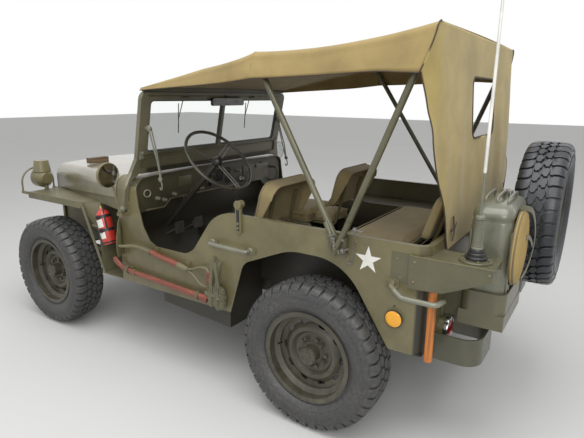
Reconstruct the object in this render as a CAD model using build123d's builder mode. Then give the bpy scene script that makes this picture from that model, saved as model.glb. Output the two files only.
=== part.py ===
"""Open army 4x4 car with a canvas top, in millimetres.

The car faces -Y, its left side is +X and it stands on Z = 0.
Lengthways places are stations: distances behind the front axle.
"""

import os
from math import asin, cos, hypot, radians, sin

from build123d import *

os.makedirs("parts", exist_ok=True)

# Driving dimensions of the whole car
wheelbase = 2032.0
front_axle_y = -1224.0
axle_height = 358.0
body_half_width = 724.0
sheet = 6.0
seat_gap = 0.3

# Wheels and tyres
tyre_width = 206.0
wheel_centre_x = 712.0
bead_radius = 204.0
rim_lip_radius = 221.0
rim_half_width = 80.0
rim_wall = 5.0
drum_radius = 128.0
drum_face_x = 712.0
spindle_radius = 30.0
kingpin_x = 590.0

# Chassis frame
rail_height = 95.0
rail_width = 44.0
rail_outer_x = 393.0
rail_wall = 5.0
rail_high_z = 530.0
rail_low_z = 488.0
bumper_height = 115.0
bumper_depth = 36.0
bumper_half_width = 660.0
bumper_front_station = -482.0

# Springs
spring_x = 371.0
spring_width = 44.0
leaf_thickness = 8.0
leaf_count = 4
front_spring_half = 455.0
rear_spring_half = 480.0
axle_tube_radius = 36.0
spring_pad_z = axle_height + axle_tube_radius + 4.0
eye_lift = 9.0

# Body tub
cowl_front_station = 690.0
tub_front_station = 1000.0
tub_rear_station = wheelbase + 516.0
tub_bottom_z = 431.0
tub_tail_z = 489.0
tub_top_z = 958.0
tub_corner_radius = 60.0
rear_floor_z = 606.0
step_station = wheelbase - 432.0
well_inner_x = 457.0
well_top_z = 835.0
well_front_station = wheelbase - 502.0
well_rear_station = wheelbase + 434.0

# Cowl and hood
cowl_top_z = 1064.0
cowl_crown = 12.0
cowl_corner = 78.0
hood_front_station = -305.0
hood_rear_station = 684.0
hood_front_half = 478.0
hood_front_low_z = 862.0
hood_rear_low_z = 935.0
hood_front_top_z = 1030.0
hood_front_corner = 85.0
hood_sheet = 4.0
hood_pivot_z = 1088.0
hood_pivot_station = 694.0
hinge_places = (-420.0, 0.0, 420.0)

# Windshield
windshield_lean = 11.5
windshield_foot = (770.0, 897.0)
windshield_top_z = 1538.0
windshield_half = body_half_width - 38.0
windshield_bar = 26.0

# Canvas top and its bows
canvas = 3.0
bow_radius = 14.0
bow_foot = (wheelbase + 128.0, 915.0)
front_bow_station = wheelbase - 367.0
bow_x = 743.0

# Steering
column_tilt = 45.5
steering_wheel_radius = 216.0
steering_wheel_centre = (350.0, 1151.0, 1155.0)
steer_arm = 150.0


def at(distance):
    """Y of a station, a distance behind the front axle."""
    return front_axle_y + distance


def save(piece, name):
    """Label a finished piece and write it as its own node."""
    piece.part.label = name
    export_step(piece.part, f"parts/{name}.step")


def block(x_span, station_span, z_span, mode=Mode.ADD):
    """Box between two X, two stations and two heights."""
    spans = (x_span, (at(station_span[0]), at(station_span[1])), z_span)
    with Locations(tuple((low + high) / 2 for low, high in spans)):
        Box(*(abs(high - low) for low, high in spans), mode=mode)


def rod(start, end, radius, mode=Mode.ADD):
    """Round bar between two points, given as X, station and Z."""
    first = Vector(start[0], at(start[1]), start[2])
    run = Vector(end[0], at(end[1]), end[2]) - first
    with BuildSketch(Plane(origin=first, z_dir=run)) as disc:
        Circle(radius)
    extrude(disc.sketch, amount=run.length, mode=mode)


def bent_tube(points, bend, radius):
    """Bent bar through points given as X, station and Z."""
    corners = [(x, at(station), z) for x, station, z in points]
    with BuildLine() as route:
        FilletPolyline(*corners, radius=bend)
    with BuildSketch(Plane(origin=route.line @ 0, z_dir=route.line % 0)) as disc:
        Circle(radius)
    sweep(disc.sketch, path=route.line)


def side_plane(x):
    """Plane across X whose sketch uses Y and Z of the car."""
    return Plane(origin=(x, 0, 0), x_dir=(0, 1, 0), z_dir=(1, 0, 0))


def facing_rear(x, station, z):
    """Plane across the car that faces to the rear, at a point."""
    return Plane(origin=(x, at(station), z), z_dir=(0, 1, 0))


def side_profile(x, points, thickness, mode=Mode.ADD):
    """Flat plate from a side outline, of stations and heights, grown towards +X."""
    with BuildSketch(side_plane(x)) as plate:
        with BuildLine():
            Polyline(*[(at(station), z) for station, z in points], close=True)
        make_face()
    extrude(plate.sketch, amount=thickness, mode=mode)


def plan_profile(z, points, thickness, mode=Mode.ADD):
    """Flat plate from a plan outline, of X and stations, grown upwards."""
    with BuildSketch(Plane.XY.offset(z)) as plate:
        with BuildLine():
            Polyline(*[(x, at(station)) for x, station in points], close=True)
        make_face()
    extrude(plate.sketch, amount=thickness, mode=mode)


def wheel_plane(x, station, z):
    """Plane through a wheel's axis: across is X, up is the radius."""
    return Plane(origin=(x, at(station), z), x_dir=(1, 0, 0), z_dir=(0, -1, 0))


rail_floor_z = rail_low_z + rail_height / 2
floor_z = rail_floor_z + sheet
spring_top_z = spring_pad_z + leaf_count * leaf_thickness
tyre_radius = axle_height


# Chassis frame with its rails, crossmembers and spring hangers
rail_rear_station = wheelbase + 488.0
rail_line = [
    (bumper_front_station + rail_wall, rail_high_z),
    (520, rail_high_z),
    (760, rail_low_z),
    (step_station + 40, rail_low_z),
    (wheelbase - 182, rail_high_z),
    (rail_rear_station, rail_high_z),
]
crossmembers = [
    # station, width, bottom z, top z
    (-110, 60, 455, 505),
    (1120, 60, 464, 478),
    (wheelbase - 312, 60, 470, 520),
    (rail_rear_station - 30, 60, rail_high_z - 45, rail_high_z + 45),
]


def rail_outline(inset):
    """Side outline of a rail, drawn in by an inset."""
    half = rail_height / 2 - inset
    upper = [(station, z + half) for station, z in rail_line]
    lower = [(station, z - half) for station, z in rail_line]
    return upper + lower[::-1]


hangers = [
    # axle station, near and far end from it, spring's half length, rail's middle height
    (0, -(front_spring_half - 48), -(front_spring_half - 10), front_spring_half, rail_high_z),
    (0, front_spring_half - 30, front_spring_half + 8, front_spring_half, rail_high_z),
    (wheelbase, -(rear_spring_half - 30), -(rear_spring_half + 8), rear_spring_half, rail_low_z),
    (wheelbase, rear_spring_half - 30, rear_spring_half + 8, rear_spring_half, rail_high_z),
]

with BuildPart() as chassis_frame:
    side_profile(rail_outer_x - rail_width, rail_outline(0), rail_width)
    side_profile(
        rail_outer_x - rail_width, rail_outline(rail_wall), rail_width - rail_wall, Mode.SUBTRACT
    )
    for axle, near, far, half, rail_z in hangers:
        block(
            (spring_x - 20, spring_x + 20),
            (axle + near, axle + far),
            (spring_top_z + eye_lift * (far / half) ** 2 + seat_gap, rail_z - rail_height / 2),
        )
    mirror(about=Plane.YZ)
    for station, width, low, high in crossmembers:
        block(
            (-rail_outer_x + rail_width, rail_outer_x - rail_width),
            (station - width / 2, station + width / 2),
            (low, high),
        )
    for side in (-1, 1):
        for station, width, low, high in crossmembers:
            block(
                (side * (rail_outer_x - rail_wall), side * (rail_outer_x - rail_width)),
                (station - width / 2, station + width / 2),
                (low, high),
            )
    block((-60, 60), (rail_rear_station, tub_rear_station - sheet), (rail_high_z - 40, rail_high_z + 40))
save(chassis_frame, "chassis_frame")

# Front bumper channel with the gusset plates that tie it to the rails
bumper_wall = 5.0
with BuildPart() as front_bumper:
    block(
        (-bumper_half_width, bumper_half_width),
        (bumper_front_station, bumper_front_station + bumper_depth),
        (rail_high_z - bumper_height / 2, rail_high_z + bumper_height / 2),
    )
    ends = front_bumper.edges().filter_by(Axis.Z).group_by(Axis.Y)[0]
    fillet(ends, radius=20)
    block(
        (-bumper_half_width + bumper_wall, bumper_half_width - bumper_wall),
        (bumper_front_station + bumper_wall, bumper_front_station + bumper_depth),
        (rail_high_z - bumper_height / 2 + bumper_wall, rail_high_z + bumper_height / 2 - bumper_wall),
        Mode.SUBTRACT,
    )
    for side in (-1, 1):
        plan_profile(
            rail_high_z + rail_height / 2,
            [
                (side * 300, bumper_front_station + bumper_wall),
                (side * 520, bumper_front_station + bumper_wall),
                (side * 520, bumper_front_station + bumper_depth),
                (side * 400, -330),
                (side * 345, -330),
                (side * 300, bumper_front_station + bumper_depth),
            ],
            bumper_height / 2 - rail_height / 2 - bumper_wall,
        )
save(front_bumper, "front_bumper")

# Rear bumperettes, one bent channel at each side
bumperette_height = 118.0
bumperette_z = 505.0
with BuildPart() as bumperettes:
    with BuildSketch(Plane.XY.offset(bumperette_z - bumperette_height / 2)):
        with BuildLine():
            FilletPolyline(
                (330, at(tub_rear_station + 4)),
                (330, at(tub_rear_station + 189)),
                (610, at(tub_rear_station + 189)),
                (610, at(tub_rear_station + 4)),
                radius=70,
            )
            offset(amount=8, kind=Kind.ARC, side=Side.LEFT, closed=True)
        make_face()
    extrude(amount=bumperette_height)
    for low, high in ((300, 338), (602, 640)):
        block((low, high), (tub_rear_station, tub_rear_station + 8), (bumperette_z - 50, bumperette_z + 50))
    mirror(about=Plane.YZ)

    # Towing ring in the middle
    block((-55, 55), (tub_rear_station, tub_rear_station + 12), (455, 565))
    block((-20, 20), (tub_rear_station + 12, tub_rear_station + 84), (497, 523))
    with BuildSketch(Plane.XY.offset(510 - 16)):
        with Locations((0, at(tub_rear_station + 120))):
            Circle(46)
            Circle(24, mode=Mode.SUBTRACT)
    extrude(amount=32)
save(bumperettes, "rear_bumper")


# Body tub: floor, sides with door and arch openings, wheel wells, rear panel
def tub_outline(inset):
    """Plan of the tub with rounded rear corners, drawn in by an inset."""
    half = body_half_width - inset
    rear = at(tub_rear_station - inset)
    front = at(tub_front_station)
    corner = tub_corner_radius - inset
    with BuildLine() as edge:
        Line((-half, front), (half, front))
        Line((half, front), (half, rear - corner))
        RadiusArc((half, rear - corner), (half - corner, rear), -corner)
        Line((half - corner, rear), (-half + corner, rear))
        RadiusArc((-half + corner, rear), (-half, rear - corner), -corner)
        Line((-half, rear - corner), (-half, front))
    make_face(edge.edges())


arch_corners = [
    (wheelbase - 505, 405),
    (wheelbase - 409, 717),
    (wheelbase - 134, 832),
    (wheelbase + 144, 832),
    (wheelbase + 420, 405),
]
arch_radii = [80, 300, 260]
door_rear_station = wheelbase - 579.0
door_corners = [
    (990, 692),
    (door_rear_station - 191, 692),
    (door_rear_station, tub_top_z),
    (door_rear_station + 347, tub_top_z),
]
door_radii = [126, 202]
inner_half = body_half_width - sheet

with BuildPart() as body_tub:
    with BuildSketch(Plane.XY.offset(tub_bottom_z)):
        tub_outline(0)
    extrude(amount=tub_top_z - tub_bottom_z)
    with BuildSketch(Plane.XY.offset(tub_bottom_z)):
        tub_outline(sheet)
    extrude(amount=tub_top_z - tub_bottom_z, mode=Mode.SUBTRACT)
    # Turned-in lip along the top of the sides and rear
    with BuildSketch(Plane.XY.offset(tub_top_z - sheet)):
        tub_outline(0)
    extrude(amount=sheet)
    with BuildSketch(Plane.XY.offset(tub_top_z - sheet)):
        tub_outline(24)
    extrude(amount=sheet, mode=Mode.SUBTRACT)
    # Openings for the doorways and the rear wheels
    with BuildSketch(side_plane(-body_half_width - 1)):
        with BuildLine():
            door_top = [(990, tub_top_z + 40), (door_corners[-1][0], tub_top_z + 40)]
            FilletPolyline(*[(at(y), z) for y, z in door_corners], radius=door_radii)
            Polyline(
                *[(at(y), z) for y, z in (door_corners[-1], door_top[1], door_top[0], door_corners[0])]
            )
        make_face()
    extrude(amount=2 * body_half_width + 2, mode=Mode.SUBTRACT)
    for side in (-1, 1):
        with BuildSketch(side_plane(side * (body_half_width + 1))):
            with BuildLine():
                FilletPolyline(*[(at(y), z) for y, z in arch_corners], radius=arch_radii)
                Line(
                    (at(arch_corners[-1][0]), arch_corners[-1][1]),
                    (at(arch_corners[0][0]), arch_corners[0][1]),
                )
            make_face()
        extrude(amount=-side * (sheet + 2), mode=Mode.SUBTRACT)
    block(
        (-body_half_width - 1, body_half_width + 1),
        (well_rear_station - sheet, tub_rear_station + 1),
        (tub_bottom_z - 1, tub_tail_z),
        Mode.SUBTRACT,
    )
    block(
        (-body_half_width - 1, body_half_width + 1),
        (tub_rear_station - 168, tub_rear_station + 1),
        (tub_bottom_z - 1, tub_tail_z),
        Mode.SUBTRACT,
    )
    # Front floor, kick step and rear floor
    block((-inner_half, inner_half), (900, step_station), (rail_floor_z, floor_z))
    block(
        (-well_inner_x, well_inner_x),
        (step_station, step_station + sheet),
        (rail_floor_z, rear_floor_z),
    )
    block(
        (-well_inner_x, well_inner_x),
        (step_station, tub_rear_station - sheet),
        (rear_floor_z - sheet, rear_floor_z),
    )
    # Wheel wells: inner wall, top, front and rear walls
    for side in (-1, 1):
        inner = side * (well_inner_x - sheet)
        outer = side * inner_half
        well_rear = tub_rear_station - sheet
        block((inner, side * well_inner_x), (well_front_station, well_rear), (floor_z, well_top_z))
        block((inner, side * well_inner_x), (step_station, well_rear), (tub_tail_z, floor_z))
        block((inner, outer), (well_front_station, well_rear), (well_top_z - sheet, well_top_z))
        block((inner, outer), (well_front_station, well_front_station + sheet), (tub_bottom_z, well_top_z))
        block((inner, outer), (well_rear_station - sheet, well_rear_station), (tub_tail_z, well_top_z))
        block((inner, outer), (well_rear_station, tub_rear_station - sheet), (tub_tail_z, tub_tail_z + sheet))
    # The stretch of front floor over the wheel wells stays open
    for side in (-1, 1):
        block(
            (side * well_inner_x, side * inner_half),
            (well_front_station + sheet, step_station + 1),
            (rail_floor_z - 1, floor_z + 1),
            Mode.SUBTRACT,
        )
    # Gearbox tunnel
    block((-156, 156), (704, 1112), (rail_floor_z, 646))
    block((-150, 150), (700, 1106), (rail_floor_z - 1, 640), Mode.SUBTRACT)
    # Fuel tank well below the left side
    side_profile(
        440,
        [
            (1036, 372),
            (well_front_station - 2, 340),
            (well_front_station - 2, rail_floor_z),
            (1036, rail_floor_z),
        ],
        inner_half - 440,
    )
    side_profile(
        445,
        [
            (1041, 377),
            (well_front_station - 7, 346),
            (well_front_station - 7, floor_z + 1),
            (1041, floor_z + 1),
        ],
        inner_half - 450,
        Mode.SUBTRACT,
    )
save(body_tub, "body_tub")


# Cowl: hoop over the feet, firewall, toe board and dash panel
def hoop(half, low, side_top, corner, top, crown):
    """Closed hoop outline over X and Z with round shoulders and a light crown."""
    with BuildLine() as edge:
        Line((-half, low), (half, low))
        Line((half, low), (half, side_top))
        ThreePointArc(
            (half, side_top),
            (half - corner * (1 - cos(radians(45))), top - corner * (1 - sin(radians(45)))),
            (half - corner, top),
        )
        ThreePointArc((half - corner, top), (0, top + crown), (-half + corner, top))
        ThreePointArc(
            (-half + corner, top),
            (-half + corner * (1 - cos(radians(45))), top - corner * (1 - sin(radians(45)))),
            (-half, side_top),
        )
        Line((-half, side_top), (-half, low))
    make_face(edge.edges())


def cross_plane(station):
    """Plane across the car's length: sketch X is the car's X, sketch Y is Z."""
    return Plane(origin=(0, at(station), 0), x_dir=(1, 0, 0), z_dir=(0, -1, 0))


cowl_side_top = cowl_top_z - cowl_corner
cowl_rear_edge = [
    (868, 1100),
    (855, 1000),
    (868, 900),
    (900, 790),
    (949, 716),
    (tub_front_station, 692),
    (tub_front_station, 300),
    (1200, 300),
    (1200, 1200),
    (868, 1200),
]
with BuildPart() as cowl:
    with BuildSketch(cross_plane(cowl_front_station)):
        hoop(body_half_width, tub_bottom_z, cowl_side_top, cowl_corner, cowl_top_z, cowl_crown)
    extrude(amount=-(tub_front_station - cowl_front_station))
    with BuildSketch(cross_plane(cowl_front_station + sheet)):
        hoop(
            inner_half, tub_bottom_z - 1, cowl_side_top, cowl_corner - sheet, cowl_top_z - sheet, cowl_crown
        )
    extrude(amount=-(tub_front_station - cowl_front_station), mode=Mode.SUBTRACT)
    side_profile(-body_half_width - 1, cowl_rear_edge, 2 * body_half_width + 2, Mode.SUBTRACT)
    # Toe board from the firewall down to the floor
    block(
        (-inner_half, inner_half),
        (cowl_front_station - 1, cowl_front_station + sheet + 1),
        (430, 700),
        Mode.SUBTRACT,
    )
    side_profile(
        -inner_half,
        [
            (cowl_front_station, 700),
            (cowl_front_station + sheet, 706),
            (900, floor_z + 2),
            (900, rail_floor_z),
            (cowl_front_station, 691),
        ],
        2 * inner_half,
    )
    block((-156.5, 156.5), (cowl_front_station - 2, 905), (rail_floor_z - 10, 646.5), Mode.SUBTRACT)
    # Lugs of the hood's hinges
    for x in hinge_places:
        for side in (-1, 1):
            block(
                (x + side * 41, x + side * 56),
                (cowl_front_station, cowl_front_station + 11),
                (1060, hood_pivot_z + 6),
            )
    # Side walls below the toe board keep their front edge
    for side in (-1, 1):
        block(
            (side * inner_half, side * body_half_width),
            (cowl_front_station, cowl_front_station + 30),
            (tub_bottom_z, 710),
        )
    # Dash panel with a deeper left and right end
    with BuildSketch(cross_plane(838)):
        hoop(inner_half, 860, cowl_side_top, cowl_corner - sheet, cowl_top_z - sheet, cowl_crown)
        with BuildLine():
            Polyline((-500, 850), (500, 850), (450, 905), (-450, 905), close=True)
        make_face(mode=Mode.SUBTRACT)
    extrude(amount=-5)
    rod((350, 600, 612.5), (350, 800, 809.0), 21, Mode.SUBTRACT)
save(cowl, "cowl")

# Slotted grille panel with side returns
slot_count = 9
slot_pitch = 46.0
headlamp_x = 330.0
headlamp_z = 838.0
headlamp_radius = 88.0
grille_station = -290.0
grille_low_z = 600.0
grille_inset = 12.0
grille_half = hood_front_half - grille_inset
with BuildPart() as grille:
    with BuildSketch(cross_plane(grille_station)):
        hoop(
            grille_half,
            grille_low_z,
            hood_front_top_z - hood_front_corner,
            hood_front_corner - grille_inset,
            hood_front_top_z - grille_inset,
            8,
        )
        with Locations((0, 775)):
            with GridLocations(slot_pitch, 1, slot_count, 1):
                SlotOverall(290, 24, rotation=90, mode=Mode.SUBTRACT)
        with Locations((-headlamp_x, headlamp_z), (headlamp_x, headlamp_z)):
            Circle(headlamp_radius, mode=Mode.SUBTRACT)
        with Locations((-headlamp_x, 690), (headlamp_x, 690)):
            Circle(27 + seat_gap, mode=Mode.SUBTRACT)
    extrude(amount=-4)
    for side in (-1, 1):
        block(
            (side * (grille_half - 4), side * grille_half),
            (grille_station, grille_station + 20),
            (grille_low_z, 858),
        )
    # Feet down to the front crossmember
    block((-250, 250), (grille_station, grille_station + 5), (rail_high_z - 20, grille_low_z))
    for side in (-1, 1):
        block(
            (side * 352, side * 390),
            (grille_station, grille_station + 40),
            (rail_high_z + rail_height / 2, grille_low_z),
        )
save(grille, "grille")

# Engine with the radiator core in front of it
with BuildPart() as engine:
    block((-225, 225), (grille_station + 60, grille_station + 120), (rail_high_z + rail_height / 2, 960))
    block(
        (-390, 390),
        (grille_station + 70, grille_station + 110),
        (rail_high_z + rail_height / 2, rail_high_z + 60),
    )
    block((-160, 190), (-110, 560), (505, 930))
    block((-110, 150), (120, 560), (440, 505))
save(engine, "engine")


# Front fenders with flange, inner apron, raised band and rear skirt
def hood_half_at(station):
    """Half width of the hood's lower edge at a station."""
    share = (station - hood_front_station) / (hood_rear_station - hood_front_station)
    return hood_front_half + share * (body_half_width - hood_front_half)


fender_top_z = 864.0
fender_front_station = -265.0
fender_rear_station = 320.0
fender_sheet = 5.0
apron_x = 450.0
band_inset = 10.0


def band_points(inset, front, rear):
    """Plan corners of the upright band under the hood's edge."""
    return (hood_half_at(front) - inset, front), (hood_half_at(rear) - inset, rear)


with BuildPart() as front_fenders:
    crease = (hood_half_at(420) - band_inset, 420)
    tail = (hood_half_at(cowl_front_station) - band_inset, cowl_front_station)
    plan_profile(
        fender_top_z - fender_sheet,
        [
            (apron_x - 4, fender_front_station),
            (body_half_width, fender_front_station),
            (body_half_width, fender_rear_station),
            crease,
            tail,
            (apron_x - 4, cowl_front_station),
        ],
        fender_sheet,
    )
    block(
        (body_half_width - fender_sheet, body_half_width),
        (fender_front_station, fender_rear_station),
        (822, fender_top_z - fender_sheet),
    )
    block(
        (apron_x - 4, body_half_width),
        (fender_front_station, fender_front_station + fender_sheet),
        (822, fender_top_z - fender_sheet),
    )
    # Inner apron beside the engine
    block(
        (apron_x - 4, apron_x),
        (fender_front_station, cowl_front_station),
        (580, fender_top_z - fender_sheet),
    )
    # Band that rises to the hood's edge
    (first, second) = band_points(band_inset, -260, cowl_front_station)
    plan_profile(
        fender_top_z,
        [first, second, (second[0] - fender_sheet, second[1]), (first[0] - fender_sheet, first[1])],
        100,
    )
    side_profile(
        300,
        [
            (-320, hood_front_low_z + 8),
            (cowl_front_station + 1, hood_rear_low_z + 8),
            (cowl_front_station + 1, 1000),
            (-320, 1000),
        ],
        500,
        Mode.SUBTRACT,
    )
    # Rear skirt down to the body's sill
    with BuildSketch(Plane.XY.offset(fender_top_z - fender_sheet)):
        with BuildLine():
            Polyline(
                (body_half_width, at(fender_rear_station - 6)),
                (crease[0], at(crease[1] - 6)),
                (apron_x - 4, at(crease[1] - 6)),
                (apron_x - 4, at(crease[1])),
                (crease[0], at(crease[1])),
                (body_half_width, at(fender_rear_station)),
                close=True,
            )
        make_face()
    with BuildSketch(Plane.XY.offset(tub_bottom_z)):
        with BuildLine():
            Polyline(
                (body_half_width, at(500)),
                (crease[0], at(500)),
                (apron_x - 4, at(500)),
                (apron_x - 4, at(506)),
                (crease[0], at(506)),
                (body_half_width, at(506)),
                close=True,
            )
        make_face()
    loft(ruled=True)
    side_profile(
        body_half_width - fender_sheet,
        [(314, 859), (338, 859), (524, tub_bottom_z), (500, tub_bottom_z)],
        fender_sheet,
    )
    block(
        (apron_x - 4, body_half_width),
        (500, cowl_front_station),
        (tub_bottom_z, tub_bottom_z + fender_sheet),
    )
    mirror(about=Plane.YZ)
    # Bracket of the extinguisher
    block((684, 712), (404, 479.2), (718, 730))
save(front_fenders, "front_fenders")

# Head lamps, marker lamps and the shrouded lamp on the left fender
fender_lamp = (600.0, -280.0, 945.0)
hoop_x = 115.0
with BuildPart() as front_lamps:
    for side in (-1, 1):
        with BuildSketch(facing_rear(side * headlamp_x, grille_station - 6, headlamp_z)):
            Circle(headlamp_radius - 3)
        extrude(amount=10)
        with BuildSketch(facing_rear(side * headlamp_x, grille_station + 4, headlamp_z)):
            Circle(headlamp_radius + 8)
        extrude(amount=70, taper=22)
        rod((side * headlamp_x, grille_station - 22, 690), (side * headlamp_x, grille_station + 30, 690), 27)
    # Shrouded lamp on the left fender
    with BuildSketch(facing_rear(fender_lamp[0], fender_lamp[1] - 40, fender_lamp[2])):
        Circle(66)
    extrude(amount=60)
    with BuildSketch(facing_rear(fender_lamp[0], fender_lamp[1] + 20, fender_lamp[2])):
        Circle(66)
    extrude(amount=40, taper=35)
    rod((fender_lamp[0], -246, fender_top_z), (fender_lamp[0], -246, 905), 14)
    with BuildSketch(Plane.XY.offset(990)):
        with Locations((fender_lamp[0], at(fender_lamp[1]))):
            Circle(58)
    extrude(amount=78, taper=8)
    # Hoop that guards it
    bent_tube(
        [
            (fender_lamp[0] - hoop_x, -345, fender_top_z - 4),
            (fender_lamp[0] - hoop_x, -345, 1012),
            (fender_lamp[0] + hoop_x, -345, 1012),
            (fender_lamp[0] + hoop_x, -345, fender_top_z - 4),
        ],
        100,
        6,
    )
    for side in (-1, 1):
        block(
            (fender_lamp[0] + side * hoop_x - 8, fender_lamp[0] + side * hoop_x + 8),
            (-351, fender_front_station),
            (fender_top_z - 20, fender_top_z - 2),
        )
save(front_lamps, "front_lamps")


# Hood: one lofted sheet from the grille to the cowl
def hood_section(station, half, low, corner, top, crown):
    """One cross section of the hood, on its own plane."""
    with BuildSketch(cross_plane(station)) as section:
        hoop(half, low, top - corner, corner, top, crown)
    return section.sketch


def hood_body(inset, low_drop, mode):
    """Loft from the grille to the cowl, drawn in by an inset."""
    front = hood_section(
        hood_front_station,
        hood_front_half - inset,
        hood_front_low_z - low_drop,
        hood_front_corner - inset,
        hood_front_top_z - inset,
        10,
    )
    rear = hood_section(
        hood_rear_station,
        body_half_width - inset,
        hood_rear_low_z - low_drop,
        cowl_corner - inset,
        cowl_top_z - inset,
        cowl_crown,
    )
    loft([front, rear], ruled=True, mode=mode)


with BuildPart() as hood:
    hood_body(0, 0, Mode.ADD)
    hood_body(hood_sheet, 1, Mode.SUBTRACT)
    # Hinge barrel on the rear edge
    for x in hinge_places:
        rod((x - 40, hood_pivot_station, hood_pivot_z), (x + 40, hood_pivot_station, hood_pivot_z), 7)
        block((x - 40, x + 40), (640, hood_pivot_station), (hood_pivot_z - 4, hood_pivot_z + 2))
        block((x - 40, x + 40), (640, 676), (cowl_top_z + 4, hood_pivot_z - 2))
save(hood, "hood")

with BuildPart() as hood_blocks:
    for x in (-350, 350):
        block((x - 75, x + 75), (-12, 33), (1049, 1086))
save(hood_blocks, "hood_blocks")

# Windshield: outer frame with lower panel and pivot arms
lean = radians(windshield_lean)
shield_plane = Plane(
    origin=(0, at(windshield_foot[0]), windshield_foot[1]), x_dir=(1, 0, 0), z_dir=(0, -cos(lean), sin(lean))
)


def slope(z):
    """Distance up the leaning windshield of a height."""
    return (z - windshield_foot[1]) / cos(lean)


glass_low = slope(1203)
glass_high = slope(1494)
glass_half = windshield_half - 68.0
with BuildPart() as windshield_frame:
    with BuildSketch(shield_plane):
        with Locations((0, (slope(windshield_top_z) + slope(1082)) / 2)):
            RectangleRounded(
                2 * windshield_half, slope(windshield_top_z) - slope(1082), 40
            )
        with Locations((0, (glass_low + glass_high) / 2)):
            RectangleRounded(2 * glass_half, glass_high - glass_low, 25, mode=Mode.SUBTRACT)
        with Locations((0, (glass_low + glass_high) / 2)):
            Rectangle(22, glass_high - glass_low)
    extrude(amount=windshield_bar / 2, both=True)
    # The lower panel is thinner than the bars
    for face_side in (-1, 1):
        with BuildSketch(shield_plane.offset(face_side * windshield_bar / 2)):
            with Locations((0, (slope(1190) + slope(1110)) / 2)):
                Rectangle(2 * (windshield_half - windshield_bar), slope(1190) - slope(1110))
        extrude(amount=-face_side * (windshield_bar / 2 - 2), mode=Mode.SUBTRACT)
    # Pivot arms outside the cowl
    for side in (-1, 1):
        with BuildSketch(shield_plane):
            with BuildLine():
                Polyline(
                    (side * (windshield_half - 30), slope(1170)),
                    (side * windshield_half, slope(1170)),
                    (side * (body_half_width + 30), slope(1000)),
                    (side * (body_half_width + 30), slope(880)),
                    (side * (body_half_width + 3 + seat_gap), slope(880)),
                    (side * (body_half_width + 3 + seat_gap), slope(1040)),
                    (side * (windshield_half - 30), slope(1090)),
                    close=True,
                )
            make_face()
        extrude(amount=windshield_bar / 2, both=True)
save(windshield_frame, "windshield_frame")

with BuildPart() as windshield_glass:
    with BuildSketch(shield_plane.offset(-3)):
        for side in (-1, 1):
            with Locations((side * (glass_half + 11) / 2, (glass_low + glass_high) / 2)):
                RectangleRounded(glass_half - 11 - 2 * seat_gap, glass_high - glass_low - 2 * seat_gap, 24)
    extrude(amount=6)
save(windshield_glass, "windshield_glass")

# Canvas roof: stations, shoulder half width and height, hem half width and height
roof_table = [
    (895, 676, 1562, 682, 1546),
    (front_bow_station + 5, 690, 1716, 715, 1596),
    (bow_foot[0] - 130, 694, 1724, 722, 1606),
    (tub_rear_station - 160, 700, 1768, 742, 1622),
    (tub_rear_station - 40, 702, 1792, 746, 1632),
]
with BuildPart() as canvas_top:
    for thickness in (0, canvas):
        for station, shoulder_x, shoulder_z, hem_x, hem_z in roof_table:
            drop = shoulder_z - hem_z
            turn = min(20, drop * 0.4)
            with BuildSketch(cross_plane(station)):
                with BuildLine():
                    Polyline(
                        (-hem_x + thickness, hem_z - (1 if thickness else 0)),
                        (hem_x - thickness, hem_z - (1 if thickness else 0)),
                        (shoulder_x - thickness, shoulder_z - turn),
                        (shoulder_x - turn, shoulder_z - thickness),
                        (-shoulder_x + turn, shoulder_z - thickness),
                        (-shoulder_x + thickness, shoulder_z - turn),
                        close=True,
                    )
                make_face()
        loft(ruled=True, mode=Mode.SUBTRACT if thickness else Mode.ADD)
save(canvas_top, "canvas_top")

# Rear curtain hung from the rear bow, outside the tub's rear panel
curtain_top = (roof_table[-1][0] + seat_gap, roof_table[-1][2])
curtain_foot = (tub_rear_station + 8, 905.0)
curtain_run = hypot(curtain_foot[0] - curtain_top[0], curtain_top[1] - curtain_foot[1])
curtain_lean = asin((curtain_foot[0] - curtain_top[0]) / curtain_run)
curtain_plane = Plane(
    origin=(0, at(curtain_top[0]), curtain_top[1]),
    x_dir=(-1, 0, 0),
    z_dir=(0, cos(curtain_lean), sin(curtain_lean)),
)
with BuildPart() as rear_curtain:
    with BuildSketch(curtain_plane):
        with BuildLine():
            Polyline(
                (-690, 0),
                (690, 0),
                (746, -160),
                (744, -455),
                (640, -660),
                (520, -curtain_run),
                (-520, -curtain_run),
                (-640, -660),
                (-744, -455),
                (-746, -160),
                close=True,
            )
        make_face()
        with Locations((0, -315)):
            RectangleRounded(420, 265, 45, mode=Mode.SUBTRACT)
    extrude(amount=canvas)
save(rear_curtain, "rear_curtain")

# Folding bows that carry the canvas, and their pivots on the tub's sides
with BuildPart() as top_bows:
    bent_tube(
        [
            (-bow_x, bow_foot[0] + 12, bow_foot[1] + 24),
            (-683, tub_rear_station - 58, 1768),
            (683, tub_rear_station - 58, 1768),
            (bow_x, bow_foot[0] + 12, bow_foot[1] + 24),
        ],
        60,
        bow_radius,
    )
    bent_tube(
        [
            (-bow_x, bow_foot[0] - 18, bow_foot[1] + 24),
            (-669, front_bow_station, 1693),
            (669, front_bow_station, 1693),
            (bow_x, bow_foot[0] - 18, bow_foot[1] + 24),
        ],
        60,
        bow_radius,
    )
    for side in (-1, 1):
        block(
            (side * (bow_x - 13), side * (bow_x + 13)),
            (bow_foot[0] - 45, bow_foot[0] + 40),
            (bow_foot[1] - 22, bow_foot[1] + 34),
        )
        block(
            (side * body_half_width, side * (bow_x - 10)),
            (bow_foot[0] - 35, bow_foot[0] + 30),
            (bow_foot[1] - 50, bow_foot[1] + 26),
        )
save(top_bows, "top_bows")

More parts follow.
